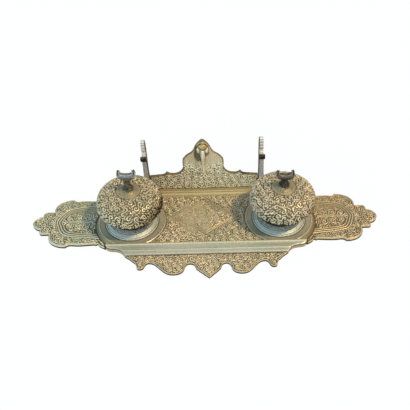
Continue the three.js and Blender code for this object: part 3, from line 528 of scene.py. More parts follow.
class Scrollwork:
    """Cast scrolls as strokes: lines of points with a half width and a height at each."""

    def __init__(self, seed):
        self.dice = np.random.default_rng(seed)
        self.lines, self.widths, self.heights = [], [], []

    def wrap(self, x, y, path):
        """Where a path round a place lies on the surface."""
        return path + np.stack([x, y], -1)

    def toward(self, start, end):
        """The step from one place to another, as seen on the surface."""
        return np.subtract(end, start)

    def add(self, x, y, path, width, height=1.0):
        line = self.wrap(x, y, np.asarray(path, float))
        self.lines.append(line)
        self.widths.append(np.zeros(len(line)) + width)
        self.heights.append(np.zeros(len(line)) + height)

    def curl(self, x, y, radius, start, turn, width, height=1.0):
        """A tendril that winds in from its outer end to a bud at its eye, never quite round."""
        turns = max(0.62, 0.76 * radius / (2 * width + 0.6)) * self.dice.uniform(0.8, 1.1)
        t = np.linspace(0, 1, max(10, int(turns * radius * 20)))
        angle = start + turn * 2 * math.pi * turns * t
        r = radius * (0.97 - 0.76 * t ** 0.85)
        flat, lie = self.dice.uniform(0.0, 0.24), self.dice.uniform(0, math.pi)
        r *= 1 - flat * np.cos(angle - lie) ** 2
        spiral = np.c_[r * np.cos(angle), r * np.sin(angle)]
        swelling = 0.72 + 0.5 * np.sin(math.pi * (t * 1.3 + self.dice.uniform(0, 0.5))) ** 2
        self.add(x, y, spiral, width * swelling, height)
        self.add(x, y, spiral[-1:], width * 1.15, height)

    def leaf(self, x, y, heading, length, bend, width, height=1.0):
        """A comma-shaped leaf from its stem end, curving as it goes."""
        steps = max(5, int(length * 5))
        t = np.linspace(0, 1, steps)
        turned = heading + bend * t
        path = np.c_[np.cumsum(np.cos(turned)), np.cumsum(np.sin(turned))] * length / steps
        self.add(x, y, path, width * (0.5 + 0.7 * np.sin(np.pi * (0.12 + 0.8 * t)) ** 1.3), height)

    def pack(self, space, low, high, sizes, tries, width, gap=0.25):
        """Curls of falling size, each started where it meets its nearest neighbour."""
        spots, centres, radii = [], [], []
        for size in sizes:
            tried = self.dice.uniform(low, high, (tries, 2))
            tried = tried[space(tried) > size]
            for spot, centre in zip(tried, self.wrap(*tried.T, np.zeros((len(tried), 2)))):
                away = np.linalg.norm(np.array(centres) - centre, axis=1) if radii else np.empty(0)
                if (away < np.array(radii) + size + gap).any():
                    continue
                spots.append(spot)
                centres.append(centre)
                radii.append(size)
        turns = {}
        for index, (spot, centre, radius) in enumerate(zip(spots, centres, radii)):
            away = np.linalg.norm(np.array(centres) - centre, axis=1) - np.array(radii)
            away[index] = 1e9
            other = int(np.argmin(away))
            step = self.toward(spot, spots[other])
            turn = turns.get(other, self.dice.choice([-1, 1]))
            turns[index] = turn if self.dice.random() < 0.75 else -turn
            self.curl(*spot, radius, math.atan2(step[1], step[0]), turns[index], width)

    def tree(self):
        points = np.concatenate(self.lines)
        if points.shape[1] == 2:
            points = np.c_[points, np.zeros(len(points))]
        found = kdtree.KDTree(len(points))
        for index, point in enumerate(points.tolist()):
            found.insert(point, index)
        found.balance()
        return found, np.concatenate(self.widths), np.concatenate(self.heights)

    def spot_on(self, x, y, dx=0.0, dy=0.0):
        return (self.wrap(x, y, np.array([[dx, dy]]))[0].tolist() + [0.0])[:3]

    def fill(self, places, width, clear=0.85, spacing=1.9, height=0.9):
        """Small leaves and beads wherever the places lie clear of every stroke."""
        tree, widths, _ = self.tree()
        taken = []
        self.dice.shuffle(places)
        for x, y in places:
            here = self.spot_on(x, y)
            _, index, distance = tree.find(here)
            if distance < widths[index] * 0.6 + clear:
                continue
            if any(math.dist(here, other) < spacing for other in taken):
                continue
            taken.append(here)
            best, heading = 0, 0
            for angle in np.arange(6) * math.pi / 6:
                step = math.cos(angle), math.sin(angle)
                ends = [tree.find(self.spot_on(x, y, k * step[0], k * step[1]))[2] for k in (-1, 1)]
                if min(ends) > best:
                    best, heading = min(ends), angle
            if best > 1.1 * clear:
                t = np.linspace(0, 1, 9)
                along = 2.2 * t - 1.1
                path = np.c_[along * math.cos(heading), along * math.sin(heading)]
                self.add(x, y, path, width * (0.55 + 0.45 * np.sin(np.pi * t)), height)
            else:
                self.add(x, y, np.zeros((1, 2)), width * 0.9, height)

    def mirror(self, axis=0):
        flip = np.where(np.arange(self.lines[0].shape[1]) == axis, -1, 1)
        self.lines += [line * flip for line in self.lines]
        self.widths += list(self.widths)
        self.heights += list(self.heights)

    def clip(self, keep):
        """Takes away the parts of the strokes where keep(points) is false."""
        masks = [keep(line) for line in self.lines]
        rows = [row for row in zip(masks, self.lines, self.widths, self.heights) if row[0].any()]
        self.lines = [line[mask] for mask, line, _, _ in rows]
        self.widths = [width[mask] for mask, _, width, _ in rows]
        self.heights = [height[mask] for mask, _, _, height in rows]

    def relief(self, places):
        """From 0 on the ground to 1 on the flat of a stroke, at each place."""
        tree, widths, heights = self.tree()
        if places.shape[1] == 2:
            places = np.c_[places, np.zeros(len(places))]
        high = np.zeros(len(places))
        for number, place in enumerate(places.tolist()):
            best = 0.0
            for _, index, distance in tree.find_n(place, 3):
                share = (1 - distance / widths[index]) / STROKE_SOFTNESS
                if share > 0:
                    share = min(share, 1.0)
                    best = max(best, heights[index] * share * share * (3 - 2 * share))
            high[number] = best
        return high


front_angle = math.degrees(math.asin((DECK_FRONT - WELL_Y) / PLATFORM_RADIUS))
back_angle = math.degrees(math.asin((DECK_BACK - WELL_Y) / PLATFORM_RADIUS))


def field_outline():
    left_side = arc((-WELL_X, WELL_Y), PLATFORM_RADIUS, front_angle, back_angle, 60)
    right_side = arc((WELL_X, WELL_Y), PLATFORM_RADIUS, 180 - back_angle, 180 - front_angle, 60)
    return right_side + left_side


def lozenge(half_x, half_y):
    """A kite with faintly hollow sides, anticlockwise from its right tip."""
    quarter = traced((half_x, 0), ((0.48 * half_x, 0.46 * half_y), (0, half_y), 12))
    back = quarter + [(-x, y) for x, y in reversed(quarter[:-1])]
    return back + [(x, -y) for x, y in reversed(back[1:-1])]


def line_of(outline):
    return np.array(subdivided(outline, LINE_PITCH))


field_edge = field_outline()
medallion = lozenge(*MEDALLION_HALF)
medallion_rim = lozenge(MEDALLION_HALF[0] + 2.6, MEDALLION_HALF[1] + 2.2)


def field_space(points):
    inside = room(points, medallion)
    space = np.where(inside > 0, inside - 1.3, -room(points, medallion_rim) - 3.4)
    return np.minimum(room(points, field_edge) - 0.9, space)


field_work = Scrollwork(11)
field_work.pack(
    field_space, (-62, DECK_FRONT), (62, DECK_BACK), (3.5, 3.1, 2.7, 2.3, 1.9, 1.5), 2400, 0.74, 0.15,
)
fan_line = line_of(medallion_rim)
LEAVES_ROUND = 58
for index in range(LEAVES_ROUND):
    start = int(len(fan_line) * index / LEAVES_ROUND)
    point = fan_line[start]
    ahead = fan_line[(start + 3) % len(fan_line)]
    heading = math.atan2(ahead[1] - point[1], ahead[0] - point[0]) - math.pi / 2
    stem = point + 1.2 * np.array([math.cos(heading), math.sin(heading)])
    field_work.leaf(*stem, heading + 0.4, 3.0, 0.5 if point[1] > 0 else -0.5, 0.55, 0.75)
for outline in (medallion_rim, medallion):
    field_work.add(0, 0, line_of(outline), 0.5, 0.8)
field_places = lattice(field_edge, 0.75, 1.0)
field_places = field_places[np.abs(room(field_places, medallion)) > 1.0]
field_work.fill(field_places, 0.64, clear=0.7, spacing=1.6)


# Where use has rubbed the pattern away: a place in mm, a reach and how much is gone
WORN_SPOTS = (
    (-5, 9, 7, 0.85), (-3, -4, 8, 0.9), (1, -14, 6, 0.85), (-16, -5, 10, 0.8), (-19, 10, 9, 0.7),
    (-18, -15, 8, 0.7), (-30, 1, 6, 0.6), (9, 2, 8, 0.45),
)


def field_surface(points, inset):
    high = field_work.relief(points)
    worn = np.zeros(len(points))
    for x, y, reach, amount in WORN_SPOTS:
        away = np.hypot(points[:, 0] - x, points[:, 1] - y)
        worn = np.maximum(worn, amount * np.exp(-(away / reach) ** 2))
    kept = 1 - worn
    height = FIELD_RELIEF * (high * kept + 0.5 * worn)
    return DECK_TOP - GROUND_SINK + height, GROUND_TONE + TONE_RISE * (high * kept + 0.66 * worn)


deck_field = slab("tray_deck_field", field_edge, FIELD_PITCH, field_surface, RECESS_ROOF)
finished(deck_field, field_brass, "stand", "tray_brass")

# The smooth round platforms under the wells, each with a thin raised ring and a dark seam
# where the well's turned foot is bolted down. They are part of the same casting.
RING_RADIUS = 34.0
RING_HALF_WIDTH = 0.6
WELL_FOOT_RADIUS = 27.4


def platform_outline():
    """The right end of the deck, from the field's arc outwards over the wing."""
    inner = arc((WELL_X, WELL_Y), PLATFORM_RADIUS, 180 - back_angle, 180 - front_angle, 80)
    outer = arc((WELL_X, WELL_Y), PLATFORM_RADIUS, -platform_reach, platform_reach, 60)
    return inner + [(DECK_HALF, DECK_FRONT)] + outer + [(DECK_HALF, DECK_BACK)]


def from_well(points):
    return np.hypot(points[:, 0] - WELL_X, points[:, 1] - WELL_Y)


def platform_points(outline):
    """Rings of points round the well, closest at its foot and at the raised ring."""
    rings = [*np.arange(2, 26, 3.0), *np.arange(26, 29.3, 0.3), *np.arange(29.3, 33, 0.5)]
    rings += [*np.arange(RING_RADIUS - 0.8, RING_RADIUS + 0.9, 0.2)]
    found = []
    for radius in rings:
        count = int(2 * math.pi * radius / (0.5 if radius > 23 else 1.5))
        angle = 2 * math.pi * np.arange(count) / count
        found.append(np.c_[WELL_X + radius * np.cos(angle), WELL_Y + radius * np.sin(angle)])
    corner = lattice(
        [(86, DECK_FRONT), (DECK_HALF, DECK_FRONT), (DECK_HALF, DECK_BACK), (86, DECK_BACK)], 0.7, 0.3,
    )
    points = np.concatenate(found + [corner[from_well(corner) > PLATFORM_RADIUS + 0.3]])
    return points[room(points, outline) > 0.2]


def platform_surface(points, inset):
    radius = from_well(points)
    share = share_of(np.abs(radius - RING_RADIUS) / RING_HALF_WIDTH)
    ring = 0.5 + 0.5 * np.cos(np.pi * share)
    ring *= (points[:, 1] > DECK_FRONT + 1) * (points[:, 1] < DECK_BACK - 1)
    seam = np.exp(-((radius - WELL_FOOT_RADIUS - 0.15) / 0.42) ** 2)
    beside = np.exp(-((np.abs(radius - RING_RADIUS) - 0.95) / 0.35) ** 2)
    turning = np.sin(radius * 5.2) * (radius > WELL_FOOT_RADIUS + 0.8) * (radius < RING_RADIUS - 1)
    height = DECK_TOP - 0.1 + 0.4 * ring - 0.3 * seam + 0.03 * turning
    return height, share_of(0.46 + 0.4 * ring - 0.5 * seam - 0.16 * beside + 0.05 * turning)


def mirrored_copy(piece, name):
    """The same piece on the left, with its faces turned to point outwards again."""
    copy = in_scene(name, piece.data.copy())
    copy.data.transform(Matrix.Scale(-1, 4, (1, 0, 0)))
    copy.data.flip_normals()
    copy.data.update()
    return copy


smooth_brass = cast_brass(
    "turned_ground_brass", (0.10, 0.075, 0.045), (0.46, 0.38, 0.25), (0.72, 0.63, 0.47), 0.34,
    grime=0.6,
)
outline = platform_outline()
inner = platform_points(outline)
platform_right = slab("tray_platform_right", outline, 0.5, platform_surface, RECESS_ROOF, inner)
platform_left = mirrored_copy(platform_right, "tray_platform_left")
for piece in (platform_right, platform_left):
    finished(piece, smooth_brass, "stand", "tray_brass")

# The moulded band along the front: a bright fillet at the deck's edge, a long smooth
# hollow, a thin bead and a pitted flat, run in one with the casting and left plain.
BAND_PROFILE = [
    (-34.4, 6.9), (-34.8, 7.3), (-35.5, 7.5), (-36.2, 7.3), (-36.6, 6.7), (-37.0, 6.35),
    (-37.8, 6.15), (-39.0, 5.95), (-40.4, 5.95), (-41.4, 6.05), (-41.8, 5.8), (-42.2, 5.75),
    (-42.7, 6.2), (-43.2, 6.05), (-43.7, 5.75), (-45.0, 5.5), (-46.6, 5.25), (-47.3, 5.0),
    (-47.7, 4.7), (-48.0, 4.0),
]


def strip_points(outline, rows, step):
    """Rows of points along x at the given values of y, inside the outline."""
    a = np.array(outline)
    x = np.arange(a[:, 0].min(), a[:, 0].max(), step)
    points = np.concatenate([np.c_[x, np.full(len(x), y)] for y in rows])
    return points[room(points, outline) > 0.25]


def peak(y, centre, half):
    return np.exp(-((y - centre) / half) ** 2)


def moulded(y, profile):
    """The height of a moulding at each y, from the corners of its profile."""
    return np.interp(y, *np.array(sorted(profile)).T)


def band_surface(points, inset):
    x, y = points.T
    end = rounded_edge(inset, 0.5) * (np.abs(x) > DECK_HALF - BAND_END - 1)
    pitted = (y < -43.6) & (y > -47.0)
    pits = np.where(pitted, np.random.default_rng(5).uniform(-1, 0, len(points)), 0)
    tone = 0.48 + 0.45 * peak(y, -35.3, 0.9) - 0.38 * peak(y, -37.2, 0.45) + 0.2 * peak(y, -42.7, 0.4)
    tone -= 0.28 * peak(y, -41.9, 0.35) + 0.3 * peak(y, -48.0, 0.5)
    tone += 0.32 * pits + 0.16 * pitted
    return moulded(y, BAND_PROFILE) - end + 0.14 * pits, share_of(tone)


outline = both_sides([(DECK_HALF, DECK_FRONT + 0.6)] + band_end(DECK_FRONT, BAND_FRONT))
rows = sorted({y for y, _ in BAND_PROFILE} | set(np.arange(-46.8, -43.6, 0.55)) | {-38.4, -39.7})
inner = strip_points(outline, rows, 0.75)
front_band = slab("tray_front_band", outline, 0.9, band_surface, RECESS_ROOF, inner)
band_brass = cast_brass(
    "worn_band_brass", (0.26, 0.22, 0.145), (0.50, 0.49, 0.39), (0.60, 0.46, 0.20), 0.38, grime=0.35,
)
finished(front_band, band_brass, "stand", "tray_brass")

# The cornice and ledge along the back, which carry the gallery and the pen rests. The
# mouldings are cast in one with the deck, and stay golden where cloths have rubbed them.
CORNICE_PROFILE = [
    (30.2, 6.9), (30.5, 7.35), (30.9, 7.5), (31.3, 7.35), (31.6, 6.85), (32.1, 6.85), (32.4, 7.4),
    (33.0, 8.1), (33.8, 8.6), (34.6, 8.8), (35.0, 8.6), (35.2, 9.3), (35.6, 9.95), (36.2, 10.05),
    (37.0, 10.0), (37.4, 9.75), (37.8, 10.0), (39.0, 10.0), (40.0, 10.0), (44.0, 10.0), (47.4, 10.0),
    (48.0, 9.7),
]


def cornice_surface(points, inset):
    x, y = points.T
    end = rounded_edge(inset, 0.5) * (y > DECK_BACK + 1)
    tone = 0.44 + 0.45 * peak(y, 30.9, 0.5) + 0.22 * peak(y, 33.7, 0.9) + 0.22 * peak(y, 36.2, 0.6)
    tone -= 0.3 * peak(y, 31.9, 0.4) + 0.25 * peak(y, 35.0, 0.3) + 0.3 * peak(y, 37.4, 0.3)
    return moulded(y, CORNICE_PROFILE) - end, share_of(tone)


ledge_end = [(DECK_HALF, DECK_BACK - 0.6)] + band_end(DECK_BACK, LEDGE_BACK)
outline = both_sides(ledge_end[::-1])
rows = sorted({y for y, _ in CORNICE_PROFILE} | {39.6, 41.5, 42.8, 45.5})
inner = strip_points(outline, rows, 1.4)
cornice = slab("tray_cornice", outline, 0.9, cornice_surface, RECESS_ROOF, inner)
moulding_brass = cast_brass(
    "moulded_brass", (0.20, 0.145, 0.07), (0.43, 0.34, 0.175), (0.66, 0.52, 0.28), 0.4, grime=0.35,
)
finished(cornice, moulding_brass, "stand", "tray_brass")

# The two lobed wings: thin plates of the same casting, with an arched cartouche round a
# flowering stem, close scrolls about it and a raised lip along the edge.
WING_RELIEF = 0.68
WING_PITCH = 0.28
PLATFORM_SLOPE = 2.0
CARTOUCHE = [
    (106.5, 24.4), (114, 22.9), (125.5, 22.0), (136, 20.4), (145.0, 18.0), (150.4, 11.4),
    (153.6, 4.6), (155.2, 0),
]
RIB_SPACING = 2.5
RIB_WIDTHS = (0.95, 0.9, 0.75)

# The back half of the right wing, from the deck's corner out to the tip
WING_EDGE = traced(
    (104, 30.7), (106.9, 30.7), (109.4, 27.5), (111.9, 30.5),
    ((120, 30.6), (128, 32.4), (136, 30.7), 10), ((139.4, 30.6), (141, 33.2), 5),
    ((149, 33.8), (161.2, 28.2), (159.6, 17.0), 16), (160.2, 15.6), (167.4, 15.6),
    ((171.4, 14.6), (170.8, 9.2), 6), ((175.8, 8.8), (180, 4.6), (180, 0), 10),
)


def wing_outline():
    """The right wing, with its inner side cut to the platform and the deck's end."""
    front = [(x, -y) for x, y in reversed(WING_EDGE[3:-1])]
    front += [(112.2, -31.6), (109.6, -30.0), (107.6, -33.0), (103.4, -35.8)]
    inner = arc((WELL_X, WELL_Y), PLATFORM_RADIUS, -platform_reach, platform_reach, 50)
    return [(DECK_HALF, 30.4)] + WING_EDGE + front + [(DECK_HALF, -36.6)] + inner


def run_along(line):
    """How far along a line each of its points lies."""
    return np.r_[0, np.cumsum(np.hypot(*np.diff(line, axis=0).T))]


def at_runs(line, runs):
    """The places on a line at these distances along it."""
    length = run_along(line)
    return np.c_[np.interp(runs, length, line[:, 0]), np.interp(runs, length, line[:, 1])]


def smooth_line(points, pitch=LINE_PITCH):
    """A curve through the points, with rounded turns, as evenly spaced points."""
    a = np.array(points, float)
    for _ in range(3):
        low, high = 0.75 * a[:-1] + 0.25 * a[1:], 0.25 * a[:-1] + 0.75 * a[1:]
        a = np.concatenate([a[:1], np.stack([low, high], 1).reshape(-1, 2), a[-1:]])
    return at_runs(a, np.arange(0, run_along(a)[-1], pitch))


def beside_line(line, amount):
    """A copy of a line, moved sideways to its left by the amount."""
    heading = np.gradient(line, axis=0)
    heading /= np.hypot(*heading.T)[:, None]
    return line + amount * np.c_[-heading[:, 1], heading[:, 0]]


outer = wing_outline()
arch = smooth_line(CARTOUCHE + [(x, -y) for x, y in reversed(CARTOUCHE[:-1])])
arch_shape = [tuple(p) for p in arch[::6]]


def wing_space(points):
    space = np.minimum(room(points, outer) - 2.3, -room(points, arch_shape) - 1.0)
    space = np.minimum(space, from_well(points) - 39.4)
    return np.where(points[:, 1] > 0.3, np.minimum(space, points[:, 1] + 2.2), -1)


wing_work = Scrollwork(29)
wing_work.pack(wing_space, (104, 0), (180, 33), (3.5, 3.0, 2.6, 2.2, 1.9, 1.6), 1300, 0.76, 0.2)
for curl in (
    (123.8, 8.2, 4.6, -1.4, 1, 0.9), (133.6, 7.4, 4.2, -1.6, -1, 0.9), (142.2, 5.4, 3.2, -1.7, 1, 0.85),
    (115.0, 7.0, 3.6, 0.6, -1, 0.85), (128.6, 14.4, 2.4, 0.4, 1, 0.8), (118.6, 15.4, 3.0, 0.4, -1, 0.8),
    (137.6, 12.6, 2.0, 0.4, -1, 0.75),
):
    wing_work.curl(*curl)
for leaf in (
    (120.0, 2.2, 0.9, 5.0, 0.9, 0.85), (129.0, 2.1, 0.9, 5.0, 0.9, 0.85),
    (138.4, 2.0, 0.8, 4.4, 0.9, 0.8), (145.4, 1.4, 0.5, 4.2, 0.9, 0.85),
):
    wing_work.leaf(*leaf)
wing_work.add(0, 0.85, np.c_[np.arange(117, 146.5, 0.25), np.zeros(118)], 0.6)
wing_work.mirror(axis=1)
wing_work.leaf(146.2, 0, 0, 3.4, 0, 1.2)


def beyond_ribs(points):
    inside = room(points, arch_shape)
    return (inside > RIB_SPACING * 2.5) | (inside < -0.6) | (points[:, 0] < 108)


wing_work.clip(beyond_ribs)
for number, width in enumerate(RIB_WIDTHS):
    wing_work.add(0, 0, beside_line(arch, -RIB_SPACING * number), width, 1.1 - 0.1 * number)
whole_edge = WING_EDGE + [(x, -y) for x, y in reversed(WING_EDGE[:-1])]
opening = math.dist(whole_edge[0], whole_edge[-1])
lip = line_of(whole_edge)[: -int(opening / LINE_PITCH)]
wing_work.add(0, 0, beside_line(lip, -1.3), 0.72, 1.0)
wing_work.clip(lambda p: (from_well(p) > 38.6) & (room(p, outer) > 0.7))
wing_places = lattice(outer, 0.75, 2.0)
inside = room(wing_places, arch_shape)
off_ribs = (inside < -1.5) | (inside > 2.9 * RIB_SPACING)
wing_work.fill(wing_places[(from_well(wing_places) > 39.2) & off_ribs], 0.74)


def wing_surface(points, inset):
    well = from_well(points)
    climb = share_of((PLATFORM_RADIUS + PLATFORM_SLOPE - well) / PLATFORM_SLOPE)
    climb = climb * climb * (3 - 2 * climb)
    outside = np.where((well < PLATFORM_RADIUS + 3) | (points[:, 0] < DECK_HALF + 1.5), 9.0, inset)
    far = share_of((points[:, 1] - 5) / 8) * share_of(room(points, arch_shape) / 2)
    worn = np.maximum(0.35 * share_of((points[:, 1] - 16) / 8), 0.55 * far)
    relief = wing_work.relief(points) * share_of((well - 37.5) / 1.5) * (1 - worn)
    height = PLATE_TOP - GROUND_SINK + WING_RELIEF * (relief + 0.4 * worn) - rounded_edge(outside)
    height = np.where(climb > 0, PLATE_TOP + (DECK_TOP - 0.1 - PLATE_TOP) * climb, height)
    tone = GROUND_TONE + TONE_RISE * (relief + 0.5 * worn) + 0.34 * (climb > 0)
    # The rim is painted: a light highlight along the front edge and dark shade along the back edge
    rim = share_of(1.6 - outside / 0.7)
    return height, tone * (1 - rim) + rim * np.where(points[:, 1] < -2, 0.7, -0.2)


def wide_at_front(points):
    """The front lobes, drawn out a little further towards the tip than the back ones."""
    reach = share_of((points[:, 0] - 125) / 20) * share_of((-points[:, 1] - 6) / 10)
    return points + np.c_[1.6 * reach, np.zeros((len(points), 2))]


wing_right = slab("tray_wing_right", outer, WING_PITCH, wing_surface, 0, place=wide_at_front, under=-1.2)
wing_left = mirrored_copy(wing_right, "tray_wing_left")


def points_of(mesh):
    return read(mesh.vertices, "co", 3)


def relief_of(piece):
    return read(piece.data.attributes["relief"].data, "value")


# Painted shade: the left wing's inner end beside its well, where the left lid's shadow falls, has its hollows
# darkened and its crests lightened
places = points_of(wing_left.data) / MM
from_left_well = np.hypot(places[:, 0] + WELL_X, places[:, 1] - MIDDLE_Y - WELL_Y)
lid_shadow_reach = share_of((47 - from_left_well) / 5)
bright = relief_of(wing_left)
shadow_contrast_tone = share_of(bright + 0.8 * lid_shadow_reach * (bright - 0.5))
store_relief(wing_left.data, np.where(bright < 0, bright, shadow_contrast_tone))
right_brass = cast_brass(
    "cast_brass_right_wing", (0.165, 0.11, 0.052), (0.36, 0.26, 0.135), (0.66, 0.51, 0.32),
)
left_brass = cast_brass(
    "cast_brass_left_wing", (0.14, 0.125, 0.07), (0.33, 0.295, 0.175), (0.66, 0.62, 0.46),
)
finished(wing_right, right_brass, "stand", "tray_brass")
finished(wing_left, left_brass, "stand", "tray_brass")

# The scalloped apron hangs along the front, a step below the band. Its pattern was cut
# by hand, so its centre motif sits a little to the right of the tray's own middle.
APRON_RELIEF = 0.5
APRON_PITCH = 0.28
APRON_DRIFT = 1.8

# The right half of the apron's scallops, from its shoulder to the centre point
APRON_EDGE = traced(
    (76, -51.5), (72.5, -55.0), ((69.5, -56.4), (69.15, -60.9), 5), ((68.4, -64.5), (66, -64.5), 5),
    ((62.5, -64.5), (61.5, -60.9), 5), ((60, -56.8), (57, -56.8), 5),
    ((47.8, -56.8), (45, -71.6), (34, -71.6), 14), ((25, -71.6), (23.3, -65), 8),
    ((22.3, -58.6), (17.7, -58.6), 6), ((13.1, -58.6), (12.1, -65), 6),
    ((7, -70.2), (3, -73.6), (0, -76.5), 10),
)


def drifted(points):
    """The apron's middle, moved to where the founder cut it."""
    moved = points.copy()
    moved[:, 0] += APRON_DRIFT * share_of(1 - np.abs(points[:, 0]) / 48)
    return moved


apron_outer = both_sides([(81, BAND_FRONT + 0.3)] + APRON_EDGE)


def apron_space(points):
    space = room(points, apron_outer) - 1.5
    return np.where(points[:, 0] > 0.3, np.minimum(space, points[:, 0] + 1.8), -1)


apron_work = Scrollwork(37)
apron_work.pack(apron_space, (0, -77), (82, BAND_FRONT), (3.0, 2.6, 2.2, 1.9, 1.5), 1300, 0.68, 0.15)
apron_work.mirror()
edge_line = line_of(both_sides(APRON_EDGE))
edge_line = edge_line[: -int(2 * APRON_EDGE[0][0] / LINE_PITCH)]
apron_work.add(0, 0, beside_line(edge_line, 1.15), 0.62)
apron_work.fill(lattice(apron_outer, 0.7, 1.3), 0.62, clear=0.7, spacing=1.6)


def apron_surface(points, inset):
    relief = apron_work.relief(points)
    edge = np.where(points[:, 1] > BAND_FRONT - 0.6, 9.0, inset)
    tone = GROUND_TONE + TONE_RISE * relief
    rim = share_of(1.3 - edge / 0.5)
    height = PLATE_TOP - GROUND_SINK + APRON_RELIEF * relief - rounded_edge(edge)
    return height, tone * (1 - rim) + 0.66 * rim


apron = slab("tray_apron", apron_outer, APRON_PITCH, apron_surface, 0, place=drifted, under=-1.8)
finished(apron, field_brass, "stand", "tray_brass")

# The gallery: an upright cast plate with an ogee crest, held on the ledge by three screws
# from below. Scrolls run along its foot, and a gilt bud on a keeled stem rises to the crest.
GALLERY_BACK = 43.5
GALLERY_THICKNESS = 3.5
GALLERY_LEAN = -1.9
GALLERY_FOOT = LEDGE_TOP
GALLERY_TOP = 75.6
GALLERY_RELIEF = 0.6
BUD_TOP = 72.4

# The right half of the gallery, from its foot to its apex, as x and height
GALLERY_EDGE = traced(
    (57.6, GALLERY_FOOT), (57.6, 27.5), (44, 28.875), ((40.5, 29.5), (39, 33), 6),
    ((37.05, 30.1), (32.5, 30.1), 6), ((26.3, 30.1), (21.3, 34.1), (21.3, 41.1), 12),
    ((22.15, 49.5), (20.2, 51), 6), ((17.6, 55.6), (13.0, 58.0), 8), ((9.8, 60.6), (8.6, 64.6), 6),
    ((7.0, 69.0), (4.6, 71.8), 6), ((2.6, 74.2), (1.2, GALLERY_TOP - 0.4), 6), (0, GALLERY_TOP),
)


def standing(points):
    """Stands a plate up on the ledge: across, up and forward become the tray's own axes."""
    lean = GALLERY_LEAN * (points[:, 1] - GALLERY_FOOT) / (GALLERY_TOP - GALLERY_FOOT)
    return np.c_[points[:, 0] + lean, GALLERY_BACK - points[:, 2], points[:, 1]]


def dome_over(points, centre, radii):
    """A half ellipsoid's height from 0 to 1 over the points."""
    away = ((points - centre) / radii) ** 2
    return np.sqrt(share_of(1 - away.sum(1)))


gallery_outer = both_sides(GALLERY_EDGE)


def gallery_space(points):
    space = np.minimum(room(points, gallery_outer) - 1.2, 52 - points[:, 1])
    return np.where(points[:, 0] > 0.2, np.minimum(space, points[:, 0] + 1.6), -1)


gallery_work = Scrollwork(53)
gallery_work.pack(gallery_space, (0, 10), (58, 52), (3.4, 3.0, 2.6, 2.2, 1.9, 1.6), 1500, 0.74, 0.2)
gallery_work.mirror()
gallery_places = lattice(gallery_outer, 0.75, 1.2)
gallery_work.fill(gallery_places[gallery_places[:, 1] < 53], 0.74)


def gallery_surface(points, inset):
    across, up = points.T
    sides = np.abs(across)
    fade = share_of((44 + 0.45 * sides - up) / 8) * np.where(across < 0, 1.0, 0.9)
    scrolls = gallery_work.relief(points) * fade
    spread = np.arctan2(across, BUD_TOP + 2.6 - up)
    rays = 0.5 + 0.5 * np.sin(spread * 84 + 2.2 * np.sin(0.55 * up)) * np.sin(0.9 * up + 7 * spread)
    rays *= share_of((up - 35) / 8) * share_of(inset / 2)
    keel_half = np.interp(up, (33, 45, 56), (0.3, 1.3, 2.6))
    edge = share_of(1 - sides / keel_half) * ((up > 33) & (up < 60))
    keel = np.interp(up, (33, 45, 56), (0.5, 1.6, 2.6)) * edge ** 0.8
    hollow = 1.1 * dome_over(points, (-4.4, 58.0), (4.8, 11.5))
    hollow += 0.7 * dome_over(points, (4.4, 59.6), (2.6, 6.4))
    hollow += 0.4 * np.exp(-((sides - keel_half - 0.5) / 0.6) ** 2) * ((up > 42) & (up < 56))
    knob = 1.8 * dome_over(points, (0, 73.2), (2.6, 2.2))
    height = GALLERY_THICKNESS - 0.15 + GALLERY_RELIEF * scrolls + 0.16 * rays + keel
    height = height - 1.2 * share_of(hollow) + knob - rounded_edge(inset, 1.1)
    # Painted shade and light: the hollows on both sides of the keel are darkened as its shadow, the crest's
    # left side is darker, the right side a little lighter, and the plate's rounded edge is darkened
    tone = 0.45 + 0.76 * scrolls - 0.34 * fade + 0.2 * rays - 0.6 * hollow - 0.12 * knob + 0.0015 * across
    tone -= 0.07 * (across < 0) * share_of((up - 44) / 6)
    tone = np.where(edge > 0, np.maximum(tone, 0.6 + 0.4 * edge), tone)
    return height, share_of(tone - 0.4 * share_of(1 - inset / 0.8))


gallery = slab("gallery_plate", gallery_outer, 0.28, gallery_surface, 0, place=standing, under=0)
gallery_brass = cast_brass("cast_brass_gallery", (0.23, 0.16, 0.08), (0.62, 0.49, 0.30), (1.0, 0.88, 0.64))
finished(gallery, gallery_brass, "stand", "gallery_brass", "gallery")

bud_half = traced(
    (0, 46.5), ((1.4, 49.5), (2.3, 54.2), 5), ((3.6, 57.4), (5.4, 59.4), 6),
    ((7.4, 62.6), (6.2, 67.4), 8), ((4.6, BUD_TOP), (0, BUD_TOP), 10),
)


def bud_surface(points, inset):
    sides = np.c_[np.abs(points[:, 0]), points[:, 1]]
    crown = 4.6 * dome_over(points, (0, 68.2), (5.0, 4.2))
    petals = 3.0 * dome_over(sides, (4.2, 63.4), (2.2, 3.8))
    leaf = 4.6 * dome_over(points, (0, 58.0), (2.4, 10.5))
    shapes = np.stack([crown, petals, leaf])
    top = shapes.max(0)
    second = np.sort(shapes, axis=0)[1]
    crease = np.exp(-((top - second) / 0.35) ** 2) * (second > 0.4)
    height = GALLERY_THICKNESS - 0.2 + np.maximum(top, 0.2) - 0.6 * crease
    # Painted shade: the creases between the crown, petals and leaf, and the bud's outline, are darkened
    tone = np.choose(shapes.argmax(0), (0.34, 0.66, 0.84)) - 1.2 * crease
    return height, share_of(tone * share_of(inset / 0.8))


bud = slab("gallery_bud", both_sides(bud_half), 0.2, bud_surface, 2.6, place=standing)
gilt = cast_brass("gilt_bud", (0.06, 0.035, 0.02), (0.50, 0.36, 0.14), (1.0, 0.90, 0.70), 0.34, 0.4)
finished(bud, gilt, "stand", "gallery_brass")

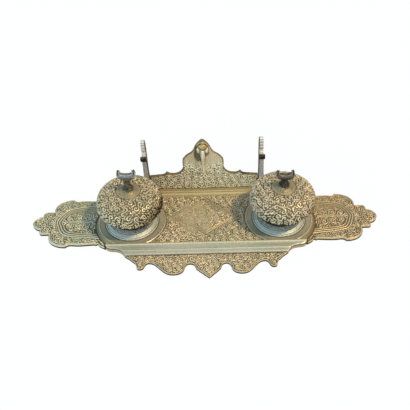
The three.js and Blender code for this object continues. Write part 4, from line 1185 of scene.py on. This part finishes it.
# The two pen rests: narrow cast uprights at the gallery's ends, with a hook for the pen and
# three beads above it. Each stands on the ledge, is held by one screw and leans outwards.
PEN_REST_X = 61
PEN_REST_WIDTH = 5.6
PEN_REST_LEAN = {"left": -1.3, "right": -2.6}
PEN_REST_STRAIGHT = 19
PEN_REST_TOP = {"left": 75.8, "right": 77}
BEADS_FOOT = 62.8
BEADS = 3
HOOK_EXTRA = 0.2
FOOT_EXTRA = 0.14
TOP_LESS = 0.14


def pen_rest_edge(top):
    """The side view of a pen rest as y and height, from its front foot round to the back."""
    pitch = (top - 2.2 - BEADS_FOOT) / BEADS
    beads = []
    for bead in range(BEADS):
        foot = BEADS_FOOT + pitch * bead
        beads.append(((39.9, foot + 0.2), (39.9, foot + pitch - 0.2), (41.1, foot + pitch), 8))
    return traced(
        (37, LEDGE_TOP), ((39.5, 15), (40, 25.9), 8), ((40, 44.4), (37.7, 51.9), 10),
        ((31.4, 54.8), (30.8, 60.6), 8), ((32.2, 63.6), (33.6, 61.4), 5), ((34.4, 58.4), (37.7, 58.4), 5),
        ((41.4, 58.4), (41.9, BEADS_FOOT), 6), *beads, ((39.2, top - 0.6), (41.6, top), 6), (43.4, top),
        ((47.4, 71), (46.4, 62.5), 8), ((45.9, 51.9), (43.8, 42.7), 8), ((43.4, 24.3), (47, LEDGE_TOP), 8),
    )


def worn_by_shape(piece, base=0.5, gain=1.4, rounds=2):
    """Marks a piece's edges as worn bright and its hollows as dark, for its metal."""
    mesh = piece.data
    points, normals = points_of(mesh), read(mesh.vertices, "normal", 3)
    a, b = read(mesh.edges, "vertices", 2).T
    step = points[b] - points[a]
    step /= np.maximum(np.linalg.norm(step, axis=1), 1e-9)[:, None]
    count = np.bincount(a, minlength=len(points)) + np.bincount(b, minlength=len(points))
    bend = np.bincount(a, np.einsum("ij,ij->i", step, normals[a]), len(points))
    bend -= np.bincount(b, np.einsum("ij,ij->i", step, normals[b]), len(points))
    bend /= np.maximum(count, 1)
    for _ in range(rounds):
        spread = np.bincount(a, bend[b], len(points)) + np.bincount(b, bend[a], len(points))
        bend = 0.4 * bend + 0.6 * spread / np.maximum(count, 1)
    store_relief(mesh, share_of(base - gain * bend))


def remeshed(piece, voxel, iterations=3):
    """Fuses a piece into one smooth skin, as a casting leaves the mould."""
    apply_modifier(piece, "REMESH", mode="VOXEL", voxel_size=voxel * MM, use_smooth_shade=True)
    apply_modifier(piece, "SMOOTH", factor=0.5, iterations=iterations)


def rounded_corners(piece, width, segments, degrees):
    """Bevels the edges of a piece that are sharper than the angle."""
    limit = math.radians(degrees)
    settings = {"width": width * MM, "segments": segments, "limit_method": "ANGLE", "angle_limit": limit}
    apply_modifier(piece, "BEVEL", **settings)


rest_brass = cast_brass(
    "dark_brass", (0.013, 0.011, 0.011), (0.42, 0.335, 0.25), (0.95, 0.90, 0.83), 0.46, 0.3,
)
for side, sign in (("left", -1), ("right", 1)):
    near = sign * PEN_REST_X - PEN_REST_WIDTH / 2
    top = PEN_REST_TOP[side]
    corners = [(near, y, z) for y, z in pen_rest_edge(top)]
    rest = outline_plate("pen_rest_casting_" + side, corners, (PEN_REST_WIDTH, 0, 0))
    rounded_corners(rest, 0.5, 2, 50)
    remeshed(rest, 0.34)
    points = points_of(rest.data) / MM
    hook = share_of((36.5 + MIDDLE_Y - points[:, 1]) / 3) * share_of((points[:, 2] - 51) / 2)
    climb = np.clip(points[:, 2] - PEN_REST_STRAIGHT, 0, None) / (top - PEN_REST_STRAIGHT)
    across = points[:, 0] - sign * PEN_REST_X
    points[:, 0] += across * (HOOK_EXTRA * hook + FOOT_EXTRA * (1 - climb) - TOP_LESS * climb)
    points[:, 0] += PEN_REST_LEAN[side] * climb
    rest.data.vertices.foreach_set("co", (points * MM).ravel())
    rest.data.update()
    worn_by_shape(rest, 0.62, 2.0)
    # Painted shade: the hook, the side face that looks towards the middle and the foot on the ledge are
    # darkened
    shaded_inner_face = share_of(-sign * across - 1.5) if side == "left" else share_of(-across - 1.5)
    shade = 1 - np.maximum(0.92 * hook * (points[:, 2] < 66), 0.85 * shaded_inner_face)
    shade = np.where(points[:, 2] < LEDGE_TOP + 2.5, 0.25, shade)
    store_relief(rest.data, relief_of(rest) * shade)
    finished(rest, rest_brass, "stand", "dark_brass", "pen_rest_" + side)

# The two wells: turned brass cups bolted to the platforms, with a wide sloping foot, fine
# beads above it and a narrower waist under the rim that the lid rests on.
WELL_RIM = 28.5
WELL_PROFILE = [
    (0, 7), (27.4, 7), (27.4, 8.0), (27.1, 8.4), (26.6, 8.5), (26.3, 8.1), (25.9, 8.3), (25.6, 8.8),
    (24.3, 9.5), (22.9, 10.4), (22.5, 10.5), (22.3, 10.1), (21.9, 10.4), (22.1, 11.2), (21.8, 11.7),
    (21.3, 11.5), (21.0, 11.8), (21.3, 12.5), (21.1, 13.0), (20.6, 12.9), (20.4, 13.2), (20.8, 13.9),
    (20.6, 14.4), (20.1, 14.5), (19.9, 17.2), (19.9, 20), (20.4, 22.6), (21.6, 24.4), (22.5, 25.2),
    (22.6, 26.4), (22.6, 28.2), (22.3, WELL_RIM), (19.9, WELL_RIM), (19.6, 28.2), (19.6, 26.5),
    (17.6, 26.5), (17.6, 11.5), (0, 11.5),
]


def softened(profile, radius=0.3):
    """A profile with each of its corners turned to a small arc."""
    done = [profile[0]]
    for before, corner, after in zip(profile, profile[1:], profile[2:]):
        back, on = math.dist(before, corner), math.dist(corner, after)
        start = np.add(corner, np.subtract(before, corner) * min(radius, 0.42 * back) / back)
        end = np.add(corner, np.subtract(after, corner) * min(radius, 0.42 * on) / on)
        done += [tuple(start)] + bezier(start, corner, end, steps=2)
    return done + [profile[-1]]


def soft_edges(piece, degrees):
    """Smooth shading that keeps the edges sharper than the angle crisp."""
    alone(piece)
    bpy.ops.object.shade_smooth_by_angle(angle=math.radians(degrees))


def turned(name, profile, centre, steps=144):
    """A turned piece: its half section in mm, spun once round an upright axis."""
    x, y = centre[0], centre[1] + MIDDLE_Y
    mesh = bpy.data.meshes.new(name)
    points = [((x + r) * MM, y * MM, z * MM) for r, z in profile]
    mesh.from_pydata(points, [(i, i + 1) for i in range(len(points) - 1)], [])
    spin = {"steps": steps, "angle": 2 * math.pi, "center": (x * MM, y * MM, 0), "axis": (0, 0, 1)}
    joining = {"threshold": 1e-6}
    piece = edited(in_scene(name, mesh), (bpy.ops.mesh.spin, spin), (bpy.ops.mesh.remove_doubles, joining))
    soft_edges(piece, 40)
    worn_by_shape(piece, 0.5, 1.6, 1)
    return piece


def turned_brass(name, centre, deep, middle, crest, roughness=0.3, metal=0.75):
    """Lathe-turned brass: the cast metal's colours with fine rings about the piece's axis."""
    material = cast_brass(name, deep, middle, crest, roughness, metal, 0.35, 0.12)
    tree = material.node_tree
    place = outputs_of(tree, "ShaderNodeTexCoord", {})["Object"]
    axis = (centre[0] * MM, (centre[1] + MIDDLE_Y) * MM, 0)
    about = outputs_of(tree, "ShaderNodeVectorMath", {0: place, 1: axis}, operation="SUBTRACT")["Vector"]
    level = {0: about, 1: (1, 1, 0)}
    level = outputs_of(tree, "ShaderNodeVectorMath", level, operation="MULTIPLY")["Vector"]
    radius = outputs_of(tree, "ShaderNodeVectorMath", {0: level}, operation="LENGTH")["Value"]
    height = outputs_of(tree, "ShaderNodeSeparateXYZ", {"Vector": about})["Z"]
    ring = outputs_of(tree, "ShaderNodeCombineXYZ", {"X": radius, "Z": height})["Vector"]
    marks = {"Vector": ring, "Scale": 1500, "Detail": 2}
    marks = outputs_of(tree, "ShaderNodeTexNoise", marks)["Fac"]
    shader = tree.nodes["Principled BSDF"]
    pits = shader.inputs["Normal"].links[0].from_socket
    cut = {"Strength": 0.35, "Distance": 0.00025, "Height": marks, "Normal": pits}
    feed(tree, shader, {"Normal": outputs_of(tree, "ShaderNodeBump", cut)["Normal"]})
    return material


WELL_CENTRE = {"left": (-WELL_X, WELL_Y), "right": (WELL_X, WELL_Y)}
for side, centre in WELL_CENTRE.items():
    well = turned("well_cup_" + side, softened(WELL_PROFILE), centre)
    heights = points_of(well.data)[:, 2] / MM
    bright = relief_of(well)
    # Painted shade: the cup darkens upwards from its foot to near black under the lid, through fine turned
    # rings
    shade = np.interp(heights, (10.6, 12, 14.2, 15), (1.0, 0.75, 0.5, 0.0))
    shade *= 0.6 + 0.4 * np.cos(2 * math.pi * (heights - 8.4) / 1.15) ** 2
    out = np.hypot(*(points_of(well.data)[:, :2] / MM - (centre[0], centre[1] + MIDDLE_Y)).T)
    store_relief(well.data, np.where((heights > 25) | (out < 19.8), bright, bright * shade))
    colours = (0.015, 0.017, 0.015), (0.44, 0.44, 0.36), (0.86, 0.85, 0.72)
    metal = turned_brass("turned_well_brass_" + side, centre, *colours, 0.5, 0.45)
    finished(well, metal, "stand", "well_brass", "well_" + side)

# The glass liners hang in the wells by their lips and hold the ink. They are pressed glass,
# with a thick rounded lip and a foot that is stepped in underneath.
LINER_PROFILE = [
    (0, 11.9), (15.2, 11.9), (17.2, 13.9), (17.2, 26.5), (19.2, 26.5), (19.2, 28.1), (15.4, 28.1),
    (15.4, 16.3), (13.4, 14.3), (0, 14.3),
]


liner_glass, tree, shader = new_material("pressed_glass")
place = outputs_of(tree, "ShaderNodeTexCoord", {})["Object"]
waves = outputs_of(tree, "ShaderNodeTexNoise", {"Vector": place, "Scale": 160})["Fac"]
ripple = {"Strength": 0.1, "Distance": 0.0003, "Height": waves}
feed(tree, shader, {
    "Base Color": ramp(tree, waves, ((0, (0.80, 0.90, 0.87)), (1, (0.95, 0.98, 0.97)))),
    "Roughness": mapped(tree, waves, 0, 1, 0.02, 0.12),
    "Normal": outputs_of(tree, "ShaderNodeBump", ripple)["Normal"],
    "IOR": 1.5,
    "Transmission Weight": 0.92,
})
for side, centre in WELL_CENTRE.items():
    liner = turned("glass_liner_" + side, softened(LINER_PROFILE, 0.5), centre)
    finished(liner, liner_glass, "stand", "liner_glass", "liner_" + side)

# The two lids: full hollow domes, cast with bold curling leaf scrolls that stand well proud
# of the ground. They simply lift off, and the right one sits a little off its well.
LID_CENTRE = {"left": (-76, -4), "right": (77.8, -4)}
DOME_RADIUS = 32.5
DOME_SPRING = 31
DOME_RISE = 19.4
DOME_POWER = 2 / 3.4
DOME_CROWN = 11.6
DOME_STEPS = 560
DOME_RELIEF = 1.25
SCROLLS_END = 1.3
LID_FOOT = 26


def even(points, pitch):
    """The same curve as points that lie evenly along it."""
    line = np.array(points, float)
    length = run_along(line)[-1]
    return at_runs(line, np.linspace(0, length, int(length / pitch) + 1))


crown_angle = math.acos((DOME_CROWN / DOME_RADIUS) ** (1 / DOME_POWER))
swell = np.linspace(crown_angle, 0, 400)
dome_curve = np.c_[
    DOME_RADIUS * np.cos(swell) ** DOME_POWER, DOME_SPRING + DOME_RISE * np.sin(swell) ** DOME_POWER,
]
skirt = traced(
    (DOME_RADIUS, DOME_SPRING), ((32.4, 29.9), (31.2, 29.3), 12), ((29.6, 28.4), (29.4, LID_FOOT), 12),
)[1:]
outside = even(np.concatenate([dome_curve, skirt]), 0.3)
outward = np.gradient(outside, axis=0)
outward = np.c_[-outward[:, 1], outward[:, 0]] / np.hypot(*outward.T)[:, None]
run = run_along(outside)


class DomeScrollwork(Scrollwork):
    """Scrolls whose places are an angle round the dome and a run down from its crown."""

    def wrap(self, x, y, path):
        down = y + path[:, 1]
        radius = np.interp(down, run, outside[:, 0])
        angle = x + path[:, 0] / np.interp(y, run, outside[:, 0])
        return np.c_[radius * np.cos(angle), radius * np.sin(angle), np.interp(down, run, outside[:, 1])]

    def toward(self, start, end):
        turn = (end[0] - start[0] + math.pi) % (2 * math.pi) - math.pi
        return turn * np.interp(start[1], run, outside[:, 0]), end[1] - start[1]


lowest = np.interp(-(DOME_SPRING - SCROLLS_END), -outside[:, 1], run)
dome_work = DomeScrollwork(71)
dome_work.pack(
    lambda p: np.minimum(p[:, 1] - 1.2, lowest - 0.2 - p[:, 1]),
    (0, 0), (2 * math.pi, lowest), (3.3, 2.9, 2.5, 2.2, 1.9), 2600, 1.0, 0.25,
)
angles = np.linspace(0, 2 * math.pi, 200, endpoint=False)
angles, downs = np.meshgrid(angles, np.arange(1.5, lowest - 0.6, 0.8))
dome_work.fill(np.c_[angles.ravel(), downs.ravel()], 1.0, clear=1.0, spacing=2.1)

around = np.linspace(0, 2 * math.pi, DOME_STEPS, endpoint=False)
inner_curve = even([
    (28.2, LID_FOOT), (28.2, 30.5), (27.8, 35), (26.2, 39.6), (23.4, 43.0), (19.2, 45.8), (13.6, 47.6),
    (5.9, 48.2), (2.3, 48.2),
], 2.2)
crown = [(2.3, 50.4), (8, 50.4)]
section = np.concatenate([crown, outside, [(28.7, 25.95)], inner_curve])
first, last = len(crown), len(crown) + len(outside)


def spun(line):
    """A radius and a height at each point of a line, taken all round the dome."""
    return np.stack([
        line[:, :1] * np.cos(around), line[:, :1] * np.sin(around), np.repeat(line[:, 1:], DOME_STEPS, 1),
    ], -1)


rings = spun(section)
high = dome_work.relief(rings[first:last].reshape(-1, 3)).reshape(len(outside), DOME_STEPS)
fade = share_of(run / 1.2) * share_of((lowest + 0.8 - run) / 0.8)
rings[first:last] += spun(outward) * (DOME_RELIEF * (high - 0.5) * fade[:, None])[..., None]
tone = np.full(rings.shape[:2], 0.3)
rubbed = share_of((outside[:, 1:] - 30) / 15)
smoothed = 0.45 * rubbed * rubbed
pattern = 0.04 + 0.92 * high
tone[first:last] = (1 - smoothed) * pattern + 0.46 * smoothed
# Painted shade: below the scrolls the skirt, which turns in under the lid, is near black
below_scrolls = share_of((run - lowest) / 1.2)[:, None]
tone[first:last] = tone[first:last] * (1 - below_scrolls) + 0.03 * below_scrolls
index = np.arange(rings.shape[0] * DOME_STEPS).reshape(rings.shape[:2])
below, beside = np.roll(index, -1, axis=0), np.roll(index, -1, axis=1)
quads = np.stack([index, below, np.roll(below, -1, axis=1), beside], -1).reshape(-1, 4)

lid_brass = cast_brass(
    "cast_brass_lid", (0.070, 0.045, 0.022), (0.34, 0.255, 0.14), (0.80, 0.67, 0.47), 0.38, 0.42, 0.7,
)
# Painted shade: each dome is darker low down and darkest on its right side: the way that side faces and how
# dark it gets
PAINTED_SHADE_SIDE = {"left": (-0.05, 1.5), "right": (0.1, 1.1)}
for side, turn in (("left", 0.0), ("right", 2.1)):
    toward, amount = PAINTED_SHADE_SIDE[side]
    facing = share_of(np.cos(around + turn - toward)) ** 2.5
    low = share_of((45 - outside[:, 1:]) / 11)
    shaded_tone = tone.copy()
    shaded_tone[first:last] = shaded_tone[first:last] * (1 - 0.2 * low) - amount * 0.62 * facing * low
    centre = Vector((LID_CENTRE[side][0], LID_CENTRE[side][1] + MIDDLE_Y, 0)) * MM
    mesh = bpy.data.meshes.new("lid_dome_casting_" + side)
    mesh.from_pydata((rings.reshape(-1, 3) * MM).tolist(), [], quads.tolist())
    mesh.transform(Matrix.Translation(centre) @ Matrix.Rotation(turn, 4, "Z"))
    mesh.shade_smooth()
    store_relief(mesh, shaded_tone.ravel())
    dome = in_scene("lid_dome_casting_" + side, mesh)
    finished(dome, lid_brass, "lid_" + side, "lid_brass", "lid_dome_" + side)

# A turned ring soldered inside each lid rests on the well's rim, and its lip drops round
# the rim so that the lid can't slide off sideways.
SEAT_RING_PROFILE = [
    (19.8, 28.5), (24.8, 28.5), (24.8, 26.3), (26.4, 26.3), (26.4, 28.5), (27.9, 28.5), (27.9, 30.5),
    (19.8, 30.5), (19.8, 28.5),
]
for side, centre in LID_CENTRE.items():
    ring = turned("seat_ring_" + side, softened(SEAT_RING_PROFILE, 0.25), centre)
    colours = (0.08, 0.06, 0.03), (0.45, 0.36, 0.20), (0.78, 0.66, 0.42)
    metal = turned_brass("turned_ring_brass_" + side, centre, *colours)
    finished(ring, metal, "lid_" + side, "inner_brass", "lid_seat_ring_" + side)

# The finials: a turned trumpet foot, rings and a waisted stem, with a cast crescent on top
# whose horns are split. A threaded stud goes down through the lid's crown.
FINIAL_TOP = {"left": 66.9, "right": 61.9}
CRESCENT_THICKNESS = 5.6
CRESCENT_BELLY = 5.2
HORN_CENTRE = 7.5


def thread(radius, low, high, pitch=0.8, depth=0.18):
    """The zigzag side of a threaded rod, from below upwards."""
    turns = int((high - low) / pitch)
    rows = []
    for k in range(turns):
        rows += [(radius - depth, low + k * pitch), (radius, low + (k + 0.5) * pitch)]
    return rows + [(radius - depth, low + turns * pitch)]


def finial_profile(top):
    foot = [(0, 44), (1.7, 44)] + thread(2.0, 44.3, 50.0) + [(2.0, 50.4), (11.5, 50.4), (11.6, 50.55)]
    foot += [(11.0, 50.8), (10.8, 50.7), (10.1, 50.95), (9.9, 50.85), (9.2, 51.15), (9.0, 51.05)]
    foot += [(8.3, 51.4), (8.1, 51.3)] + bezier((7.6, 51.6), (5.9, 52.3), (5.1, 53.9), steps=8)
    foot += [(5.2, 54.3), (5.2, 55.2), (4.9, 55.6), (4.0, 55.9), (4.2, 56.4), (4.2, 56.9), (3.9, 57.3)]
    foot += [(3.3, 57.7)]
    foot += bezier((3.2, 58.2), (2.7, 59.6), (2.9, top - 1.8), steps=5)
    return foot + bezier((2.9, top - 1.8), (3.2, top + 0.1), (4.8, top + 1.0), steps=5) + [(0, top + 1.4)]


# The right half of the crescent above the stem, as x and height
CRESCENT_EDGE = traced(
    (0, 0), ((5.2, 0), (9.8, 1.6), (9.2, 6.6), 14), ((9.0, 8.8), (7.6, 10.4), 6), (7.0, 8.9),
    ((6.2, 10.2), (5.4, 9.4), 4), ((6.9, 6.4), (4.6, CRESCENT_BELLY), (0, CRESCENT_BELLY), 14),
)
# The left crescent is painted paler and greyer than the nearly black right one: its grey is a painted
# reflection
CRESCENT_COLOURS = {
    "left": ((0.018, 0.02, 0.02), (0.16, 0.16, 0.145), (0.60, 0.60, 0.54)),
    "right": ((0.014, 0.011, 0.008), (0.085, 0.068, 0.05), (0.42, 0.36, 0.28)),
}
# How bright the stems are above their trumpet feet: the left one catches more light
STEM_TONE = {"left": 0.32, "right": 0.12}
for side, top in FINIAL_TOP.items():
    x, y = LID_CENTRE[side]
    foot = turned("finial_stem_" + side, finial_profile(top), (x, y), 112)
    heights = points_of(foot.data)[:, 2] / MM
    ringed = 0.8 + 0.2 * np.cos(2 * math.pi * (heights - 50.4) / 0.45)
    fall = np.interp(heights, (50, 51.4, 53.2, 55), (1.0, 0.9, 0.5, STEM_TONE[side]))
    store_relief(foot.data, np.minimum(relief_of(foot), 0.6) * ringed * fall)
    colours = (0.02, 0.02, 0.018), (0.42, 0.33, 0.19), (0.66, 0.60, 0.48)
    metal = turned_brass("turned_finial_brass_" + side, (x, y), *colours, 0.4, 0.35)
    finished(foot, metal, "lid_" + side, "dark_brass", "finial_" + side)
    whole = CRESCENT_EDGE + [(-u, v) for u, v in reversed(CRESCENT_EDGE[1:-1])]
    crescent = outline_plate(
        "finial_crescent_" + side, [(x + u, y - CRESCENT_THICKNESS / 2, top + v) for u, v in whole],
        (0, CRESCENT_THICKNESS, 0),
    )
    rounded_corners(crescent, 0.9, 3, 50)
    remeshed(crescent, 0.26, 3)
    points = points_of(crescent.data) / MM
    climb = share_of((points[:, 2] - top) / 10.4)
    middle = y + MIDDLE_Y
    points[:, 1] = middle + (points[:, 1] - middle) * (1.0 - 0.45 * climb)
    about = np.abs(points[:, 0] - x)
    groove = np.exp(-((about - HORN_CENTRE) / 0.55) ** 2) * share_of((climb - 0.45) / 0.2)
    points[:, 1] += 0.5 * groove * (points[:, 1] < middle)
    crescent.data.vertices.foreach_set("co", (points * MM).ravel())
    crescent.data.update()
    worn_by_shape(crescent, 0.5, 2.4)
    # Painted shade: the split in each horn and the lower belly by the stem are darkened
    under = share_of((0.3 - climb) / 0.15) * (1 - np.clip((4.2 - about) / 2, 0, 0.4))
    store_relief(crescent.data, relief_of(crescent) * (1 - 0.9 * groove) * (1 - 0.6 * under))
    metal = cast_brass("grey_brass_" + side, *CRESCENT_COLOURS[side], roughness=0.36, metal=0.5)
    finished(crescent, metal, "lid_" + side, "dark_brass")

# Under each crown a washer and a hexagonal nut hold the finial's stud. They are plain
# steel, left as they came from the shop.
NUT_RADIUS = 4.4
NUT_FOOT = 44.8
WASHER_FOOT = 47.4
WASHER_TOP = 48.2
HOLE_RADIUS = 2.3


def copied(piece, name, move):
    """The same piece again with its own mesh, moved by so many mm."""
    copy = piece.copy()
    copy.data = piece.data.copy()
    copy.name = name
    bpy.context.scene.collection.objects.link(copy)
    copy.data.transform(Matrix.Translation(Vector(move) * MM))
    return copy


def washer(name, centre, low, high):
    profile = [(HOLE_RADIUS, low), (5.5, low), (5.6, low + 0.1), (5.6, high - 0.25), (5.35, high)]
    profile += [(HOLE_RADIUS, high), (HOLE_RADIUS, low)]
    return turned(name, profile, centre, 64)


def hexagonal_nut(name, centre, low, high):
    x, y = centre
    corners = arc((0, 0), NUT_RADIUS, 0, 300, 5)
    nut = outline_plate(name, [(x + u, y + v, low) for u, v in corners], (0, 0, high - low))
    bore = arc((0, 0), HOLE_RADIUS - 0.2, 0, 350, 35)
    cut_away(nut, outline_plate("bore", [(x + u, y + v, low - 1) for u, v in bore], (0, 0, high - low + 2)))
    rounded_corners(nut, 0.35, 3, 40)
    soft_edges(nut, 40)
    worn_by_shape(nut, 0.5, 0.6, 1)
    return nut


steel = cast_brass(
    "fastener_steel", (0.06, 0.06, 0.065), (0.33, 0.33, 0.34), (0.68, 0.68, 0.70), 0.3, 0.9, grime=0.3,
)
first_nut = hexagonal_nut("finial_hex_nut_left", LID_CENTRE["left"], NUT_FOOT, WASHER_FOOT)
first_washer = washer("finial_plain_washer_left", LID_CENTRE["left"], WASHER_FOOT, WASHER_TOP)
across = (LID_CENTRE["right"][0] - LID_CENTRE["left"][0], 0, 0)
second_nut = copied(first_nut, "finial_hex_nut_right", across)
second_washer = copied(first_washer, "finial_plain_washer_right", across)
for side, nut, disc in (("left", first_nut, first_washer), ("right", second_nut, second_washer)):
    finished(nut, steel, "lid_" + side, "fastener_steel", "finial_nut_" + side)
    finished(disc, steel, "lid_" + side, "fastener_steel", "finial_washer_" + side)

# Slotted steel bolts with washers come up through the tray into the wells, and slotted
# screws into the gallery and the pen rests. All of them go in from below.
SLOT_CORNERS = ((-1, -1), (1, -1), (1, 1), (-1, 1))


def slotted(name, centre, head_radius, low, high, radius, tip, slot_width, slot_depth=0.7):
    """A screw with a domed, slotted head below and a threaded shank above."""
    x, y = centre
    head = [(0, low), (head_radius - 0.7, low), (head_radius, low + 0.5), (head_radius, high), (radius, high)]
    shank = thread(radius, high + 0.4, tip - 0.6)
    screw = turned(name, head + shank + [(radius - 0.5, tip), (0, tip)], centre, 48)
    slot = 2 * (head_radius + 1), slot_width
    corners = [(x + u * slot[0] / 2, y + v * slot[1] / 2, low - 1) for u, v in SLOT_CORNERS]
    cut_away(screw, outline_plate("slot", corners, (0, 0, 1 + slot_depth)))
    soft_edges(screw, 35)
    worn_by_shape(screw, 0.5, 0.6, 1)
    return screw


bolt = slotted("well_slotted_bolt_left", WELL_CENTRE["left"], 4.2, 0.9, 2.8, 2.0, 10, 1.26)
disc = washer("well_plain_washer_left", WELL_CENTRE["left"], 2.8, 3.6)
across = (2 * WELL_X, 0, 0)
second_bolt = copied(bolt, "well_slotted_bolt_right", across)
second_disc = copied(disc, "well_plain_washer_right", across)
for side, piece, under in (("left", bolt, disc), ("right", second_bolt, second_disc)):
    finished(piece, steel, "stand", "fastener_steel", "well_bolt_" + side)
    finished(under, steel, "stand", "fastener_steel", "well_washer_" + side)

GALLERY_SCREWS = (-40, 0, 40)
SCREW_Y = 41.75
REST_SCREW_Y = 42
screw = slotted("gallery_slotted_screw_1", (GALLERY_SCREWS[0], SCREW_Y), 2.6, 1.8, 3.6, 1.25, 16, 0.78)
for number, x in enumerate(GALLERY_SCREWS, 1):
    piece = screw
    if number > 1:
        piece = copied(screw, f"gallery_slotted_screw_{number}", (x - GALLERY_SCREWS[0], 0, 0))
    finished(piece, steel, "stand", "fastener_steel", f"gallery_screw_{number}")
for side, sign in (("left", -1), ("right", 1)):
    move = (sign * PEN_REST_X - GALLERY_SCREWS[0], REST_SCREW_Y - SCREW_Y, 0)
    piece = copied(screw, "pen_rest_slotted_screw_" + side, move)
    finished(piece, steel, "stand", "fastener_steel", "pen_rest_screw_" + side)

bpy.context.scene.view_settings.view_transform = "Standard"
